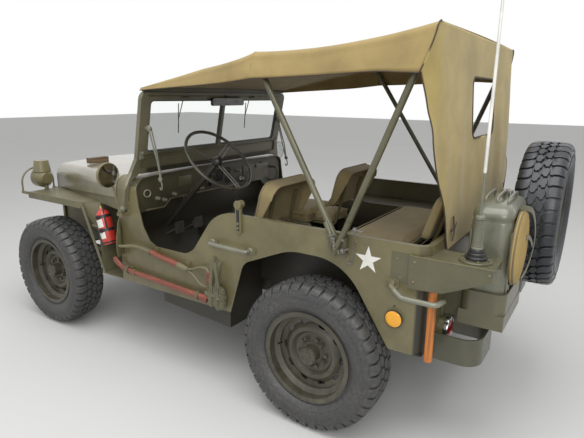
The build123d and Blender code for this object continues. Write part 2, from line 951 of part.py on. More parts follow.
# Front seats: tube frames, cushions and backs shaped as open shells
seat_half = 200.0
seat_rail_z = 714.0
seat_tube = 11.0
cushion_low_z = seat_rail_z + seat_tube + seat_gap
cushion_top_z = 785.0
seat_places = [
    # middle x, station of the rear legs, station of the back's foot
    (325.0, 1500.0, 1530.0),
    (-325.0, 1500.0, 1624.0),
]
back_lean = radians(14)
back_low_z = well_top_z + 25
back_size = (430.0, 242.0)
back_depth = 92.0
back_panel = 28.0
stay_half = 105.0
bench_front = tub_rear_station - 528.0


def back_plane(x, foot):
    """Plane on a seat back's front face: across, and up along its lean."""
    return Plane(
        origin=(x, at(foot), back_low_z), x_dir=(-1, 0, 0), z_dir=(0, cos(back_lean), -sin(back_lean))
    )


def stay_point(foot, z):
    """Station and height on a stay that runs up behind a seat back's panel."""
    behind = (back_panel + seat_gap + 9) / cos(back_lean)
    return (foot + behind + (z - back_low_z) * sin(back_lean) / cos(back_lean), z)


with BuildPart() as seat_frames:
    for x, legs, foot in seat_places:
        for side in (-1, 1):
            bent_tube(
                [
                    (x + side * seat_half, legs - 310, floor_z),
                    (x + side * seat_half, legs - 310, seat_rail_z),
                    (x + side * seat_half, legs, seat_rail_z),
                    (x + side * seat_half, legs, floor_z),
                ],
                30,
                seat_tube,
            )
            bent_tube(
                [
                    (x + side * stay_half, legs - 250, seat_rail_z),
                    (x + side * stay_half, *stay_point(foot, seat_rail_z)),
                    (x + side * stay_half, *stay_point(foot, back_low_z + 150)),
                ],
                30,
                9,
            )
        for station in (legs - 240, legs - 50):
            rod((x - seat_half, station, seat_rail_z - 2), (x + seat_half, station, seat_rail_z - 2), 8)
    for side in (-1, 1):
        bent_tube(
            [
                (side * 380, bench_front, rear_floor_z),
                (side * 380, bench_front, rear_floor_z + 178),
                (side * 380, tub_rear_station - 126, rear_floor_z + 178),
                (side * 380, tub_rear_station - 30, 1080),
            ],
            40,
            seat_tube,
        )
        rod(
            (side * 380, bench_front + 310, rear_floor_z),
            (side * 380, bench_front + 310, rear_floor_z + 178),
            seat_tube,
        )
save(seat_frames, "seat_frames")

with BuildPart() as seat_cushions:
    for x, legs, foot in seat_places:
        block((x - 215, x + 215), (legs - 275, legs - 20), (cushion_low_z, cushion_top_z))
    fillet(seat_cushions.edges().filter_by(Axis.Z).group_by(Axis.Y)[0], radius=25)
    for x, legs, foot in seat_places:
        block((x - 120, x + 120), (legs - 20, foot - 12), (cushion_low_z, cushion_top_z))
        # Back: a shell with a deep rim, open to the rear
        with BuildSketch(back_plane(x, foot)) as panel:
            with Locations((0, back_size[1] / 2)):
                RectangleRounded(*back_size, 70)
        extrude(panel.sketch, amount=back_depth)
        with BuildSketch(back_plane(x, foot).offset(back_panel)) as hollow:
            with Locations((0, back_size[1] / 2 - 30)):
                RectangleRounded(back_size[0] - 20, back_size[1] + 40, 60)
        extrude(hollow.sketch, amount=back_depth, mode=Mode.SUBTRACT)
    block(
        (-440, 440),
        (bench_front - 30, tub_rear_station - 208),
        (rear_floor_z + 178 + seat_tube + seat_gap, rear_floor_z + 245),
    )
    side_profile(
        -440,
        [
            (tub_rear_station - 146, 900),
            (tub_rear_station - 101, 900),
            (tub_rear_station - 43, 1080),
            (tub_rear_station - 48, 1090),
            (tub_rear_station - 86, 1098),
        ],
        880,
    )
save(seat_cushions, "seat_cushions")

# Steering column, box and pitman arm
tilt = radians(column_tilt)
column_dir = (0.0, sin(tilt), cos(tilt))


def on_column(distance):
    """Point on the steering axis, a distance down from the wheel's centre."""
    x, station, z = steering_wheel_centre
    return (x, station - distance * column_dir[1], z - distance * column_dir[2])


with BuildPart() as steering_column:
    rod(on_column(36 + seat_gap), on_column(786), 19)
    block((315, 392), (490, 610), (rail_high_z + rail_height / 2, 645))
    rod((340, 838, 868), (340, 838, 904), 8)
save(steering_column, "steering_column")

with BuildPart() as steering_wheel:
    x, station, z = steering_wheel_centre
    wheel_origin = Plane(origin=(x, at(station), z), x_dir=(1, 0, 0), z_dir=column_dir)
    with BuildSketch(Plane(origin=(x, at(station), z), x_dir=(1, 0, 0), z_dir=wheel_origin.y_dir)):
        with Locations((steering_wheel_radius, 0)):
            Circle(11)
    revolve(axis=Axis((x, at(station), z), column_dir))
    with BuildSketch(wheel_origin.offset(-36)):
        Circle(30)
    extrude(amount=50, taper=12)
    for angle in (90, 210, 330):
        turn = radians(angle)
        spoke_end = wheel_origin.from_local_coords(
            Vector(steering_wheel_radius * cos(turn), steering_wheel_radius * sin(turn), 0)
        )
        spoke_start = wheel_origin.from_local_coords(Vector(0, 0, -12))
        run = spoke_end - spoke_start
        with BuildSketch(Plane(origin=spoke_start, z_dir=run)):
            Circle(6)
        extrude(amount=run.length)
save(steering_wheel, "steering_wheel")

# Gear and transfer levers and the pedals
with BuildPart() as driving_controls:
    block((-130, 24), (936, 1080), (646, 651))
    bent_tube([(0, 960, 649), (0, 960, 760), (0, 1029, 975)], 40, 7)
    with Locations((0, at(1029), 983)):
        Sphere(20)
    for x in (-70, -110):
        rod((x, 1055, 649), (x - 20, 1115, 850), 6)
        with Locations((x - 20, at(1115), 855)):
            Sphere(14)
    for x in (265, 430):
        rod((x, 758, 661), (x, 880, 724), 7)
        block((x - 32, x + 32), (878, 890), (690, 760))
    block((165, 200), (762, 774), (654, 700))
save(driving_controls, "driving_controls")

# Gearbox with its transfer case
with BuildPart() as gearbox:
    with BuildSketch(cross_plane(560)):
        with Locations((0, 560)):
            Circle(150)
    extrude(amount=-20)
    block((-95, 95), (580, 1040), (478, 620))
    block((-95, 95), (1040, 1100), (478, 520))
    block((-230, -95), (880, 1070), (400, 520))
save(gearbox, "gearbox")

# Fuel tank under the driver's seat, dropped into its well
with BuildPart() as fuel_tank:
    block((190, 700), (1206, seat_places[0][1] - 16), (floor_z, 688))
    fillet(fuel_tank.edges().filter_by(Axis.Z), radius=40)
    block((453, 704), (1052, well_front_station - 18), (386, floor_z))
save(fuel_tank, "fuel_tank")

# Exhaust silencer and pipe under the right side
with BuildPart() as exhaust:
    bent_tube(
        [(-190, 300, 470), (-262, 380, 412), (-262, 900, 398), (-470, 1000, 398), (-470, 1030, 398)],
        20,
        22,
    )
    with BuildSketch(Plane(origin=(-470, at(1020), 415), x_dir=(1, 0, 0), z_dir=(0, 1, 0))):
        Ellipse(75, 50)
    extrude(amount=430)
    block((-480, -460), (1200, 1230), (460, rail_floor_z))
    bent_tube(
        [(-470, 1430, 405), (-470, wheelbase - 547, 400), (-690, wheelbase - 547, 398)], 30, 18
    )
save(exhaust, "exhaust")

# Axles
diff_x = -170.0


def axle_housing(station, pinion_side, tube_end):
    """Axle tube with its round differential housing and pinion nose."""
    rod((-tube_end, station, axle_height), (tube_end, station, axle_height), axle_tube_radius)
    with BuildSketch(wheel_plane(diff_x, station, axle_height)) as half_section:
        with BuildLine():
            Polyline((-80, 0), (-80, 60), (-40, 108), (40, 108), (80, 60), (80, 0), close=True)
        make_face()
    revolve(half_section.sketch, axis=Axis((diff_x, at(station), axle_height), (1, 0, 0)))
    rod((diff_x, station, axle_height), (diff_x, station + pinion_side * 200, axle_height), 46)
    for side in (-1, 1):
        block(
            (side * spring_x - 26, side * spring_x + 26),
            (station - 45, station + 45),
            (axle_height + axle_tube_radius - 16, spring_pad_z),
        )


ball_radius = 60.0
ball_gap = 1.0
with BuildPart() as front_axle:
    axle_housing(0, 1, kingpin_x)
    # Ball ends, with the outer face cut back for the joint inside the knuckle
    ball_face = 34.0
    face_radius = (ball_radius**2 - ball_face**2) ** 0.5
    for side in (-1, 1):
        centre = (side * kingpin_x, at(0), axle_height)
        with BuildSketch(Plane(origin=centre, x_dir=(side, 0, 0), z_dir=(0, -side, 0))) as ball:
            with BuildLine():
                ThreePointArc((-ball_radius, 0), (0, ball_radius), (ball_face, face_radius))
                Polyline((ball_face, face_radius), (ball_face, 0), (-ball_radius, 0))
            make_face()
        revolve(ball.sketch, axis=Axis(centre, (1, 0, 0)))
save(front_axle, "front_axle")

backing_x = 652.0
with BuildPart() as rear_axle:
    axle_housing(wheelbase, -1, backing_x)
    for side in (-1, 1):
        rod(
            (side * backing_x, wheelbase, axle_height),
            (side * (backing_x + 6), wheelbase, axle_height),
            drum_radius,
        )
        rod((side * backing_x, wheelbase, axle_height), (side * 740, wheelbase, axle_height), spindle_radius)
save(rear_axle, "rear_axle")

# Steering knuckles: bowl round the ball, kingpin caps, arm and spindle
knuckle_wall = 12.0
for name, side in (("knuckle_left", 1), ("knuckle_right", -1)):
    with BuildPart() as knuckle:
        with Locations((side * kingpin_x, at(0), axle_height)):
            Sphere(ball_radius + ball_gap + knuckle_wall)
            Sphere(ball_radius + ball_gap, mode=Mode.SUBTRACT)
        block(
            (side * (kingpin_x - 100), side * (kingpin_x - 16)),
            (-90, 90),
            (axle_height - 90, axle_height + 90),
            Mode.SUBTRACT,
        )
        for up in (-1, 1):
            rod(
                (side * kingpin_x, 0, axle_height + up * (ball_radius + 4)),
                (side * kingpin_x, 0, axle_height + up * (ball_radius + 30)),
                24,
            )
        rod((side * (kingpin_x + 66), 0, axle_height), (side * 740, 0, axle_height), spindle_radius)
        rod((side * backing_x, 0, axle_height), (side * (backing_x + 6), 0, axle_height), drum_radius)
        rod((side * (kingpin_x + 61), 0, axle_height), (side * (backing_x + 2), 0, axle_height), 40)
        # Steering arm forward of the kingpin
        block(
            (side * (kingpin_x - 12), side * (kingpin_x + 12)),
            (-steer_arm - 14, -62),
            (axle_height - 12, axle_height + 6),
        )
    save(knuckle, name)

tie_rod_z = axle_height - 12.0
with BuildPart() as tie_rod:
    rod((-kingpin_x, -steer_arm, tie_rod_z - 22), (kingpin_x, -steer_arm, tie_rod_z - 22), 11)
    for side in (-1, 1):
        rod(
            (side * kingpin_x, -steer_arm, tie_rod_z - 38),
            (side * kingpin_x, -steer_arm, tie_rod_z - seat_gap),
            16,
        )
save(tie_rod, "tie_rod")

# Leaf springs
with BuildPart() as leaf_springs:
    for station, half in ((0, front_spring_half), (wheelbase, rear_spring_half)):
        for leaf in range(leaf_count):
            reach = half * (1 - 0.2 * leaf) + (22 if leaf == 0 else 0)
            low = spring_top_z - (leaf + 1) * leaf_thickness
            lift = eye_lift * (reach / half) ** 2
            with BuildSketch(side_plane(spring_x - spring_width / 2)):
                with BuildLine():
                    ThreePointArc(
                        (at(station - reach), low + lift), (at(station), low), (at(station + reach), low + lift)
                    )
                    ThreePointArc(
                        (at(station - reach), low + lift + leaf_thickness),
                        (at(station), low + leaf_thickness),
                        (at(station + reach), low + lift + leaf_thickness),
                    )
                    for end in (-1, 1):
                        Line(
                            (at(station + end * reach), low + lift),
                            (at(station + end * reach), low + lift + leaf_thickness),
                        )
                make_face()
            extrude(amount=spring_width)
    mirror(about=Plane.YZ)
save(leaf_springs, "leaf_springs")

# Propeller shafts
with BuildPart() as drive_shafts:
    rod((diff_x, 203.3, axle_height + 1), (diff_x, 876.8, 440), 24)
    rod((diff_x, 1072.8, 440), (diff_x, wheelbase - 203, axle_height + 4), 24)
save(drive_shafts, "drive_shafts")


# Wheels and tyres
def turned(plane, axis, points):
    """Ring turned about an axis from a closed outline on a plane."""
    with BuildSketch(plane) as outline:
        with BuildLine():
            Polyline(*points, close=True)
        make_face()
    revolve(outline.sketch, axis=axis)


tyre_outline = [
    # across the tyre, radius
    (-rim_half_width + 7, bead_radius + seat_gap),
    (rim_half_width - 7, bead_radius + seat_gap),
    (rim_half_width - 7, rim_lip_radius + 8),
    (tyre_width / 2 - 2, 262),
    (tyre_width / 2, 300),
    (tyre_width / 2 - 6, tyre_radius - 18),
    (tyre_width / 2 - 20, tyre_radius),
    (-tyre_width / 2 + 20, tyre_radius),
    (-tyre_width / 2 + 6, tyre_radius - 18),
    (-tyre_width / 2, 300),
    (-tyre_width / 2 + 2, 262),
    (-rim_half_width + 7, rim_lip_radius + 8),
]
rim_outline = [
    # across the rim, radius
    (-rim_half_width, rim_lip_radius),
    (-rim_half_width + 6, rim_lip_radius),
    (-rim_half_width + 6, bead_radius),
    (-38, bead_radius),
    (-22, 182),
    (22, 182),
    (38, bead_radius),
    (rim_half_width - 6, bead_radius),
    (rim_half_width - 6, rim_lip_radius),
    (rim_half_width, rim_lip_radius),
    (rim_half_width, bead_radius - rim_wall),
    (41, bead_radius - rim_wall),
    (25, 177),
    (-25, 177),
    (-41, bead_radius - rim_wall),
    (-rim_half_width, bead_radius - rim_wall),
]
disc_bore = 30.6
disc_outline = [
    # outward from the wheel's middle, radius
    (0, disc_bore),
    (0, 98),
    (18, 111),
    (18, 126),
    (2, 150),
    (4, 178),
    (10, 178),
    (8, 151),
    (24, 127),
    (24, 108),
    (6, 95),
    (6, disc_bore),
]
hub_outline = [
    # outward from the wheel's middle, radius
    (0, drum_radius - 32),
    (0, drum_radius - 30),
    (-6, drum_radius),
    (-46, drum_radius),
    (-46, drum_radius - 10),
    (-16, drum_radius - 14),
    (-10, 90),
    (-10, 40),
    (-30, 36),
    (-30, spindle_radius + seat_gap),
    (29, spindle_radius + seat_gap),
    (29, 0),
    (64, 0),
    (64, 41),
    (54, 44),
    (52, 39),
    (12, 41),
    (10, 52),
    (6, 54),
    (0, 54),
]
vent_radius = 151.0
vent_count = 10
vent_size = (40.0, 22.0)

# name, station, side
wheel_places = [
    ("front_left", 0, 1),
    ("front_right", 0, -1),
    ("rear_left", wheelbase, 1),
    ("rear_right", wheelbase, -1),
]
for name, station, side in wheel_places:
    centre = (side * wheel_centre_x, at(station), axle_height)
    # Sketch X of this plane points outwards
    section = Plane(origin=centre, x_dir=(side, 0, 0), z_dir=(0, -side, 0))
    axle_line = Axis(centre, (1, 0, 0))
    outer_face = Plane(origin=centre, x_dir=(0, 1, 0), z_dir=(side, 0, 0))
    with BuildPart() as road_tyre:
        turned(section, axle_line, tyre_outline)
    save(road_tyre, f"tyre_{name}")
    with BuildPart() as road_wheel:
        turned(section, axle_line, rim_outline)
        turned(section, axle_line, disc_outline)
        with BuildSketch(outer_face.offset(30)):
            with PolarLocations(vent_radius, vent_count):
                SlotOverall(*vent_size, rotation=90)
        extrude(amount=-30, mode=Mode.SUBTRACT)
        turned(section, axle_line, hub_outline)
        with BuildSketch(outer_face.offset(6)):
            with PolarLocations(70, 5):
                RegularPolygon(11, 6)
        extrude(amount=14)
    save(road_wheel, f"wheel_{name}")

# Spare wheel on its bracket at the rear right
spare_x = -205.0
spare_station = tub_rear_station + 272.0
spare_z = 958.0
spare_centre = (spare_x, at(spare_station), spare_z)
spare_section = Plane(origin=spare_centre, x_dir=(0, 1, 0), z_dir=(1, 0, 0))
spare_axis = Axis(spare_centre, (0, 1, 0))
with BuildPart() as spare_tyre:
    turned(spare_section, spare_axis, tyre_outline)
save(spare_tyre, "spare_tyre")

with BuildPart() as spare_wheel:
    turned(spare_section, spare_axis, rim_outline)
    turned(spare_section, spare_axis, disc_outline)
    with BuildSketch(Plane(origin=spare_centre, x_dir=(1, 0, 0), z_dir=(0, 1, 0)).offset(30)):
        with PolarLocations(vent_radius, vent_count):
            SlotOverall(*vent_size, rotation=90)
    extrude(amount=-30, mode=Mode.SUBTRACT)
save(spare_wheel, "spare_wheel")

with BuildPart() as spare_bracket:
    block((spare_x - 90, spare_x + 90), (tub_rear_station, tub_rear_station + 6), (740, 900))
    block((spare_x - 60, spare_x - 20), (tub_rear_station + 6, spare_station - 120), (790, 880))
    block((spare_x + 20, spare_x + 60), (tub_rear_station + 6, spare_station - 120), (790, 880))
    block((spare_x - 60, spare_x + 60), (spare_station - 120, spare_station - 108), (790, 1060))
    rod((spare_x, spare_station - 108, spare_z), (spare_x, spare_station - seat_gap, spare_z), 60)
    rod((spare_x, spare_station - 20, spare_z), (spare_x, spare_station + 30, spare_z), 28)
save(spare_bracket, "spare_bracket")

# Fuel can and its carrier at the rear left
can_x = (200.0, 540.0)
can_station = (tub_rear_station + 93.0, tub_rear_station + 252.0)
can_low_z = 694.0
can_top_z = 1118.0
can_middle = (can_station[0] + can_station[1]) / 2
with BuildPart() as fuel_can:
    block(can_x, can_station, (can_low_z, can_top_z))
    fillet(fuel_can.edges().filter_by(Axis.Z), radius=38)
    fillet(fuel_can.faces().sort_by(Axis.Z)[-1].edges(), radius=16)
    # Three carrying handles and the spout
    for side in (-1, 0, 1):
        station = can_middle + side * 46
        bent_tube(
            [
                (270, station, can_top_z - 6),
                (270, station, 1152),
                (420, station, 1152),
                (420, station, can_top_z - 6),
            ],
            14,
            7,
        )
    rod((492, can_middle, can_top_z - 6), (508, can_middle, 1160), 27)
save(fuel_can, "fuel_can")

tray_x = (can_x[0] - 12, can_x[1] + 16)
holder_low_z = 672.0
with BuildPart() as can_carrier:
    # Holder with cut corners round the can
    with BuildSketch(Plane.XY.offset(holder_low_z)) as holder:
        with Locations(((tray_x[0] + tray_x[1]) / 2, at(can_middle))):
            RectangleRounded(tray_x[1] - tray_x[0], can_station[1] - can_station[0] + 20, 44)
    extrude(holder.sketch, amount=88)
    with BuildSketch(Plane.XY.offset(can_low_z)) as pocket:
        with Locations(((tray_x[0] + tray_x[1]) / 2, at(can_middle))):
            RectangleRounded(tray_x[1] - tray_x[0] - 12, can_station[1] - can_station[0] + 8, 40)
    extrude(pocket.sketch, amount=90, mode=Mode.SUBTRACT)
    # Tray below it
    block(tray_x, (can_station[0] - 10, can_station[1] + 11), (608, holder_low_z))
    block(
        (tray_x[0] + 4, tray_x[1] - 4),
        (can_station[0] - 6, can_station[1] + 7),
        (607, holder_low_z - 4),
        Mode.SUBTRACT,
    )
    for x in (240, 480):
        block((x - 20, x + 20), (tub_rear_station, can_station[0] - 6), (612, 730))
save(can_carrier, "can_carrier")

# Antenna shelf at the rear left corner, with its mast
shelf_z = 920.0
shelf_rear = tub_rear_station + 239.0
shelf_front = tub_rear_station - 78.0
mast_x = 662.0
mast_station = tub_rear_station + 157.0
with BuildPart() as antenna_shelf:
    plan_profile(
        shelf_z - 5,
        [
            (585, tub_rear_station),
            (700, tub_rear_station),
            (731, tub_rear_station - 33),
            (736, tub_rear_station - 33),
            (736, shelf_rear),
            (585, shelf_rear),
        ],
        5,
    )
    side_profile(
        731,
        [
            (shelf_front, 780),
            (tub_rear_station + 61, 790),
            (shelf_rear, 871),
            (shelf_rear, shelf_z),
            (shelf_front, shelf_z),
        ],
        5,
    )
    block((body_half_width, 731), (shelf_front, shelf_front + 10), (780, shelf_z))
    block((585, 590), (tub_rear_station, shelf_rear), (880, shelf_z))
    block((585, 660), (tub_rear_station, tub_rear_station + 4), (800, shelf_z))
    # Clip over the wooden handle
    block((690, 731), (tub_rear_station + 4, tub_rear_station + 40), (796.3, 803))
save(antenna_shelf, "antenna_shelf")

mast_sections = [
    # low z, high z, low radius, high radius
    (shelf_z, shelf_z + 14, 62, 58),
    (shelf_z + 14, shelf_z + 30, 42, 40),
    (shelf_z + 30, shelf_z + 48, 34, 28),
    (shelf_z + 48, shelf_z + 180, 23, 17),
    (shelf_z + 180, shelf_z + 320, 9, 8),
    (shelf_z + 320, 2240, 6, 4),
]
with BuildPart() as antenna:
    for low, high, low_radius, high_radius in mast_sections:
        with Locations((mast_x, at(mast_station), low)):
            Cone(low_radius, high_radius, high - low, align=(Align.CENTER, Align.CENTER, Align.MIN))
save(antenna, "antenna")

# Shovel and axe on the left side, with their clamps
tool_x = 752.0
tool_rear = wheelbase - 592.0
grip_station = tool_rear - 55.0
blade_plane = Plane(
    origin=(body_half_width + seat_gap, at(700), 0), x_dir=(0.84, 0.543, 0), z_dir=(0.543, -0.84, 0)
)
blade_outline = [
    # out from the body's side, height
    (0, 816),
    (26, 796),
    (48, 758),
    (72, 712),
    (77, 676),
    (76, 640),
    (66, 604),
    (52, 588),
    (0, 588),
]
with BuildPart() as shovel:
    with BuildSketch(blade_plane) as blade:
        with BuildLine():
            Polyline(*blade_outline, close=True)
        make_face()
    extrude(blade.sketch, amount=4)
    bent_tube([(784, 738, 664), (784, 790, 668), (tool_x, 850, 680), (tool_x, 982, 665)], 24, 11)
    rod((tool_x, 975, 666), (tool_x, tool_rear - 159, 618), 17)
    bent_tube(
        [
            (tool_x, tool_rear - 172, 620),
            (tool_x, grip_station - 40, 652),
            (tool_x, grip_station + 40, 646),
            (tool_x, grip_station + 30, 548),
            (tool_x, grip_station - 30, 548),
            (tool_x, tool_rear - 168, 614),
        ],
        16,
        7,
    )
save(shovel, "shovel")

with BuildPart() as axe:
    with BuildSketch(side_plane(tool_x - 11)) as haft:
        with BuildLine():
            Polyline(
                (at(648), 556),
                (at(690), 524),
                (at(760), 500),
                (at(900), 494),
                (at(tool_rear - 120), 468),
                (at(tool_rear - 30), 452),
                (at(tool_rear - 30), 500),
                (at(tool_rear - 120), 505),
                (at(900), 527),
                (at(760), 534),
                (at(700), 556),
                (at(668), 578),
                close=True,
            )
        make_face()
    extrude(haft.sketch, amount=22)
    # Head in its sheath
    side_profile(
        tool_x - 16,
        [
            (tool_rear - 34, 455),
            (tool_rear + 60, 440),
            (tool_rear + 84, 462),
            (tool_rear + 84, 560),
            (tool_rear + 40, 575),
            (tool_rear - 34, 520),
        ],
        32,
    )
save(axe, "axe")

clamp_table = [
    # station, low z, high z, reach from the body's side
    (780, 500, 530, tool_x - 11 - seat_gap),
    (1010, 640, 690, tool_x - 17 - seat_gap),
    (tool_rear - 190, 600, 655, tool_x - 17 - seat_gap),
    (tool_rear + 20, 455, 575, tool_x - 16 - seat_gap),
]
with BuildPart() as side_fittings:
    for station, low, high, reach in clamp_table:
        block((body_half_width, reach), (station - 14, station + 14), (low, high))
    # Feet of the windshield's pivots and of the mirrors
    for side in (-1, 1):
        block((side * body_half_width, side * (body_half_width + 3)), (735, 800), (850, 930))
        block((side * (body_half_width + 3), side * (body_half_width + 54)), (745, 790), (845, 865))
    # Upright roller bracket on the left side's top edge
    roller_station = wheelbase - 427.0
    block(
        (body_half_width, body_half_width + 14), (roller_station - 17, roller_station + 17), (872, 1018)
    )
    rod((body_half_width - 18, roller_station, 1012), (body_half_width + 20, roller_station, 1012), 19)
    # Grab handles on both sides
    for side in (-1, 1):
        handle = (wheelbase - 602, wheelbase - 362)
        bent_tube(
            [
                (side * body_half_width, handle[0], 795),
                (side * 762, handle[0], 795),
                (side * 762, handle[1], 790),
                (side * body_half_width, handle[1], 790),
            ],
            16,
            9,
        )
        for station, z in zip(handle, (795, 790)):
            block(
                (side * body_half_width, side * (body_half_width + 4)),
                (station - 34, station + 34),
                (z - 16, z + 16),
            )
    bent_tube(
        [
            (body_half_width, tub_rear_station - 143, 787),
            (762, tub_rear_station - 143, 787),
            (762, tub_rear_station - 88, 745),
            (762, tub_rear_station + 42, 745),
            (700, tub_rear_station + 62, 745),
        ],
        16,
        10,
    )
    block(
        (body_half_width, body_half_width + 4), (tub_rear_station - 178, tub_rear_station - 116), (768, 806)
    )
save(side_fittings, "side_fittings")

# Fire extinguisher on the left fender skirt
with BuildPart() as extinguisher:
    rod((698, 492, 840), (698, 560, 625), 45)
    rod((698, 484, 868), (698, 493, 837), 14)
save(extinguisher, "extinguisher")

# Mirrors
with BuildPart() as mirrors:
    for side in (-1, 1):
        with BuildSketch(Plane(origin=(side * 825, at(748), 1087), z_dir=(0, 1, 0))):
            Circle(70)
        extrude(amount=12)
        rod((side * 768, 768, 866.5), (side * 800, 754, 1030), 6)
    block((-145, 145), (915, 925), (1455, 1505))
    rod((0, 914.5, 1518), (0, 919, 1490), 5)
save(mirrors, "mirrors")

# Tail lamps and side reflectors
with BuildPart() as rear_lamps:
    for side in (-1, 1):
        with BuildSketch(Plane(origin=(side * 505, at(tub_rear_station), 545), z_dir=(0, 1, 0))):
            Circle(45)
        extrude(amount=45)
        reflector = Plane(
            origin=(side * body_half_width, at(wheelbase + 389), 635), x_dir=(0, 1, 0), z_dir=(side, 0, 0)
        )
        with BuildSketch(reflector):
            Circle(38)
        extrude(amount=14)
save(rear_lamps, "rear_lamps")

# Folded canvas bucket between the can and the spare wheel
with BuildPart() as canvas_bucket:
    bucket_back = Plane(origin=(400, at(can_station[1] + seat_gap), 928), x_dir=(1, 0, 0), z_dir=(0, 1, 0))
    with BuildSketch(bucket_back):
        Ellipse(155, 160)
    extrude(amount=34)
save(canvas_bucket, "canvas_bucket")

# Wooden handle hanging at the rear left corner
with BuildPart() as wooden_handle:
    rod((712, tub_rear_station + 20, 480), (712, tub_rear_station + 20, 796), 17)
save(wooden_handle, "wooden_handle")
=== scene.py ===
import logging
import math
from dataclasses import dataclass
from enum import Enum
from typing import Sequence

import bmesh
import bpy
from mathutils import Matrix, Vector


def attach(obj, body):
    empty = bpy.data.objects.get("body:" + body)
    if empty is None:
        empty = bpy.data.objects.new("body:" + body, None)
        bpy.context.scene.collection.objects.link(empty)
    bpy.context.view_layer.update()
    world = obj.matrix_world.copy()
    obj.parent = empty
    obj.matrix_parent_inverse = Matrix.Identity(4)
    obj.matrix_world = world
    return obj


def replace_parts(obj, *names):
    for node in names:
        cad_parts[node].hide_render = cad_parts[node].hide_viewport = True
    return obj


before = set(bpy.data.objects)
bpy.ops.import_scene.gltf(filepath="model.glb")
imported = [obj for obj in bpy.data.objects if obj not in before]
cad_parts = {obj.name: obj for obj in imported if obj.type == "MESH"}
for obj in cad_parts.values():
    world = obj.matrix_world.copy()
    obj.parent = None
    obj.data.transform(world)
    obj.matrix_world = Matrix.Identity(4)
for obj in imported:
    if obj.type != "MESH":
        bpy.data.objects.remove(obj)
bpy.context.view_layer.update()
LOG = logging.getLogger("army_car")

# Y of the front axle and half the body's width, in metres
FRONT_AXLE_Y = -1.224
BODY_HALF = 0.724
# Height of the axles and their distance, in millimetres
AXLE_Z = 358.0
WHEELBASE = 2032.0
# The car's right and left side as a sign of X, and directions in its frame
SIDES = (-1, 1)
LEFT = Vector((1, 0, 0))
REAR = Vector((0, 1, 0))
FRONT = Vector((0, -1, 0))
UP = Vector((0, 0, 1))

Colour = tuple[float, float, float]
Point = tuple[float, float, float]
Pair = tuple[float, float]
Pairs = tuple[Pair, ...]
Socket = bpy.types.NodeSocket


def at(distance: float) -> float:
    """Y of a station, a distance in metres behind the front axle."""
    return FRONT_AXLE_Y + distance


def place(x: float, station: float, z: float) -> Vector:
    """Point from millimetres: X, station behind the front axle, and height."""
    return Vector((x / 1000, at(station / 1000), z / 1000))


def straight(*points: Sequence[float]) -> list[Vector]:
    """Points of a line with straight runs, through places in millimetres."""
    return [place(*point) for point in points]


def full_turn(count: int) -> list[float]:
    """Angles of the equal steps of a full turn, in radians."""
    return [2 * math.pi * step / count for step in range(count)]


def rounded_outline(corners: Sequence[tuple[float, float, float]], steps: int = 6) -> list[Pair]:
    """Return an outline with a quarter circle at each corner.

    Args:
        corners: Middle and radius of each quarter, from the upper right one over the upper left one.
        steps: Steps of each quarter.

    Returns:
        Points round the outline.
    """
    outline = []
    for order, (x, y, radius) in enumerate(corners):
        for step in range(steps + 1):
            angle = math.radians(90 * order + 90 / steps * step)
            outline.append((x + radius * math.cos(angle), y + radius * math.sin(angle)))
    return outline


def rounded_box(x_span: Pair, y_span: Pair, corner: float, steps: int = 6) -> list[Pair]:
    """Return a rectangle with round corners.

    Args:
        x_span: Low and high end across.
        y_span: Low and high end upwards or along.
        corner: Radius of the corners.
        steps: Steps of each corner.

    Returns:
        Points round the rectangle.
    """
    (x_low, x_high), (y_low, y_high) = x_span, y_span
    corners = (
        (x_high - corner, y_high - corner, corner), (x_low + corner, y_high - corner, corner),
        (x_low + corner, y_low + corner, corner), (x_high - corner, y_low + corner, corner),
    )
    return rounded_outline(corners, steps)


def middle_of(outline: Sequence[Pair]) -> Pair:
    """Return the mean of an outline's corners."""
    return sum(a for a, _ in outline) / len(outline), sum(b for _, b in outline) / len(outline)


def scaled(outline: Sequence[Pair], middle: Pair, scale: float) -> list[Pair]:
    """Return an outline scaled about a point."""
    return [(middle[0] + (a - middle[0]) * scale, middle[1] + (b - middle[1]) * scale) for a, b in outline]


class Body(str, Enum):
    """Rigid bodies that carry a wheel."""

    CHASSIS = "chassis"
    FRONT_LEFT = "wheel_front_left"
    FRONT_RIGHT = "wheel_front_right"
    REAR_LEFT = "wheel_rear_left"
    REAR_RIGHT = "wheel_rear_right"


@dataclass(frozen=True)
class WheelPlace:
    """Where one of the five wheels stands and what carries it."""

    name: str
    body: Body
    centre: Point
    swing: float
    out: Vector

    @property
    def spare(self) -> bool:
        """Whether it is the spare wheel."""
        return self.body is Body.CHASSIS


WHEELS = (
    WheelPlace("front_left", Body.FRONT_LEFT, (712.0, 0.0, AXLE_Z), 0.0, LEFT),
    WheelPlace("front_right", Body.FRONT_RIGHT, (-712.0, 0.0, AXLE_Z), math.pi, Vector((-1, 0, 0))),
    WheelPlace("rear_left", Body.REAR_LEFT, (712.0, WHEELBASE, AXLE_Z), 0.0, LEFT),
    WheelPlace("rear_right", Body.REAR_RIGHT, (-712.0, WHEELBASE, AXLE_Z), math.pi, Vector((-1, 0, 0))),
    WheelPlace("spare", Body.CHASSIS, (-205.0, 2820.0, 958.0), math.pi / 2, REAR),
)


def shaded(colour: Colour, share: float) -> Colour:
    """Return a colour made darker or paler by a factor."""
    return tuple(min(1.0, c * share) for c in colour)


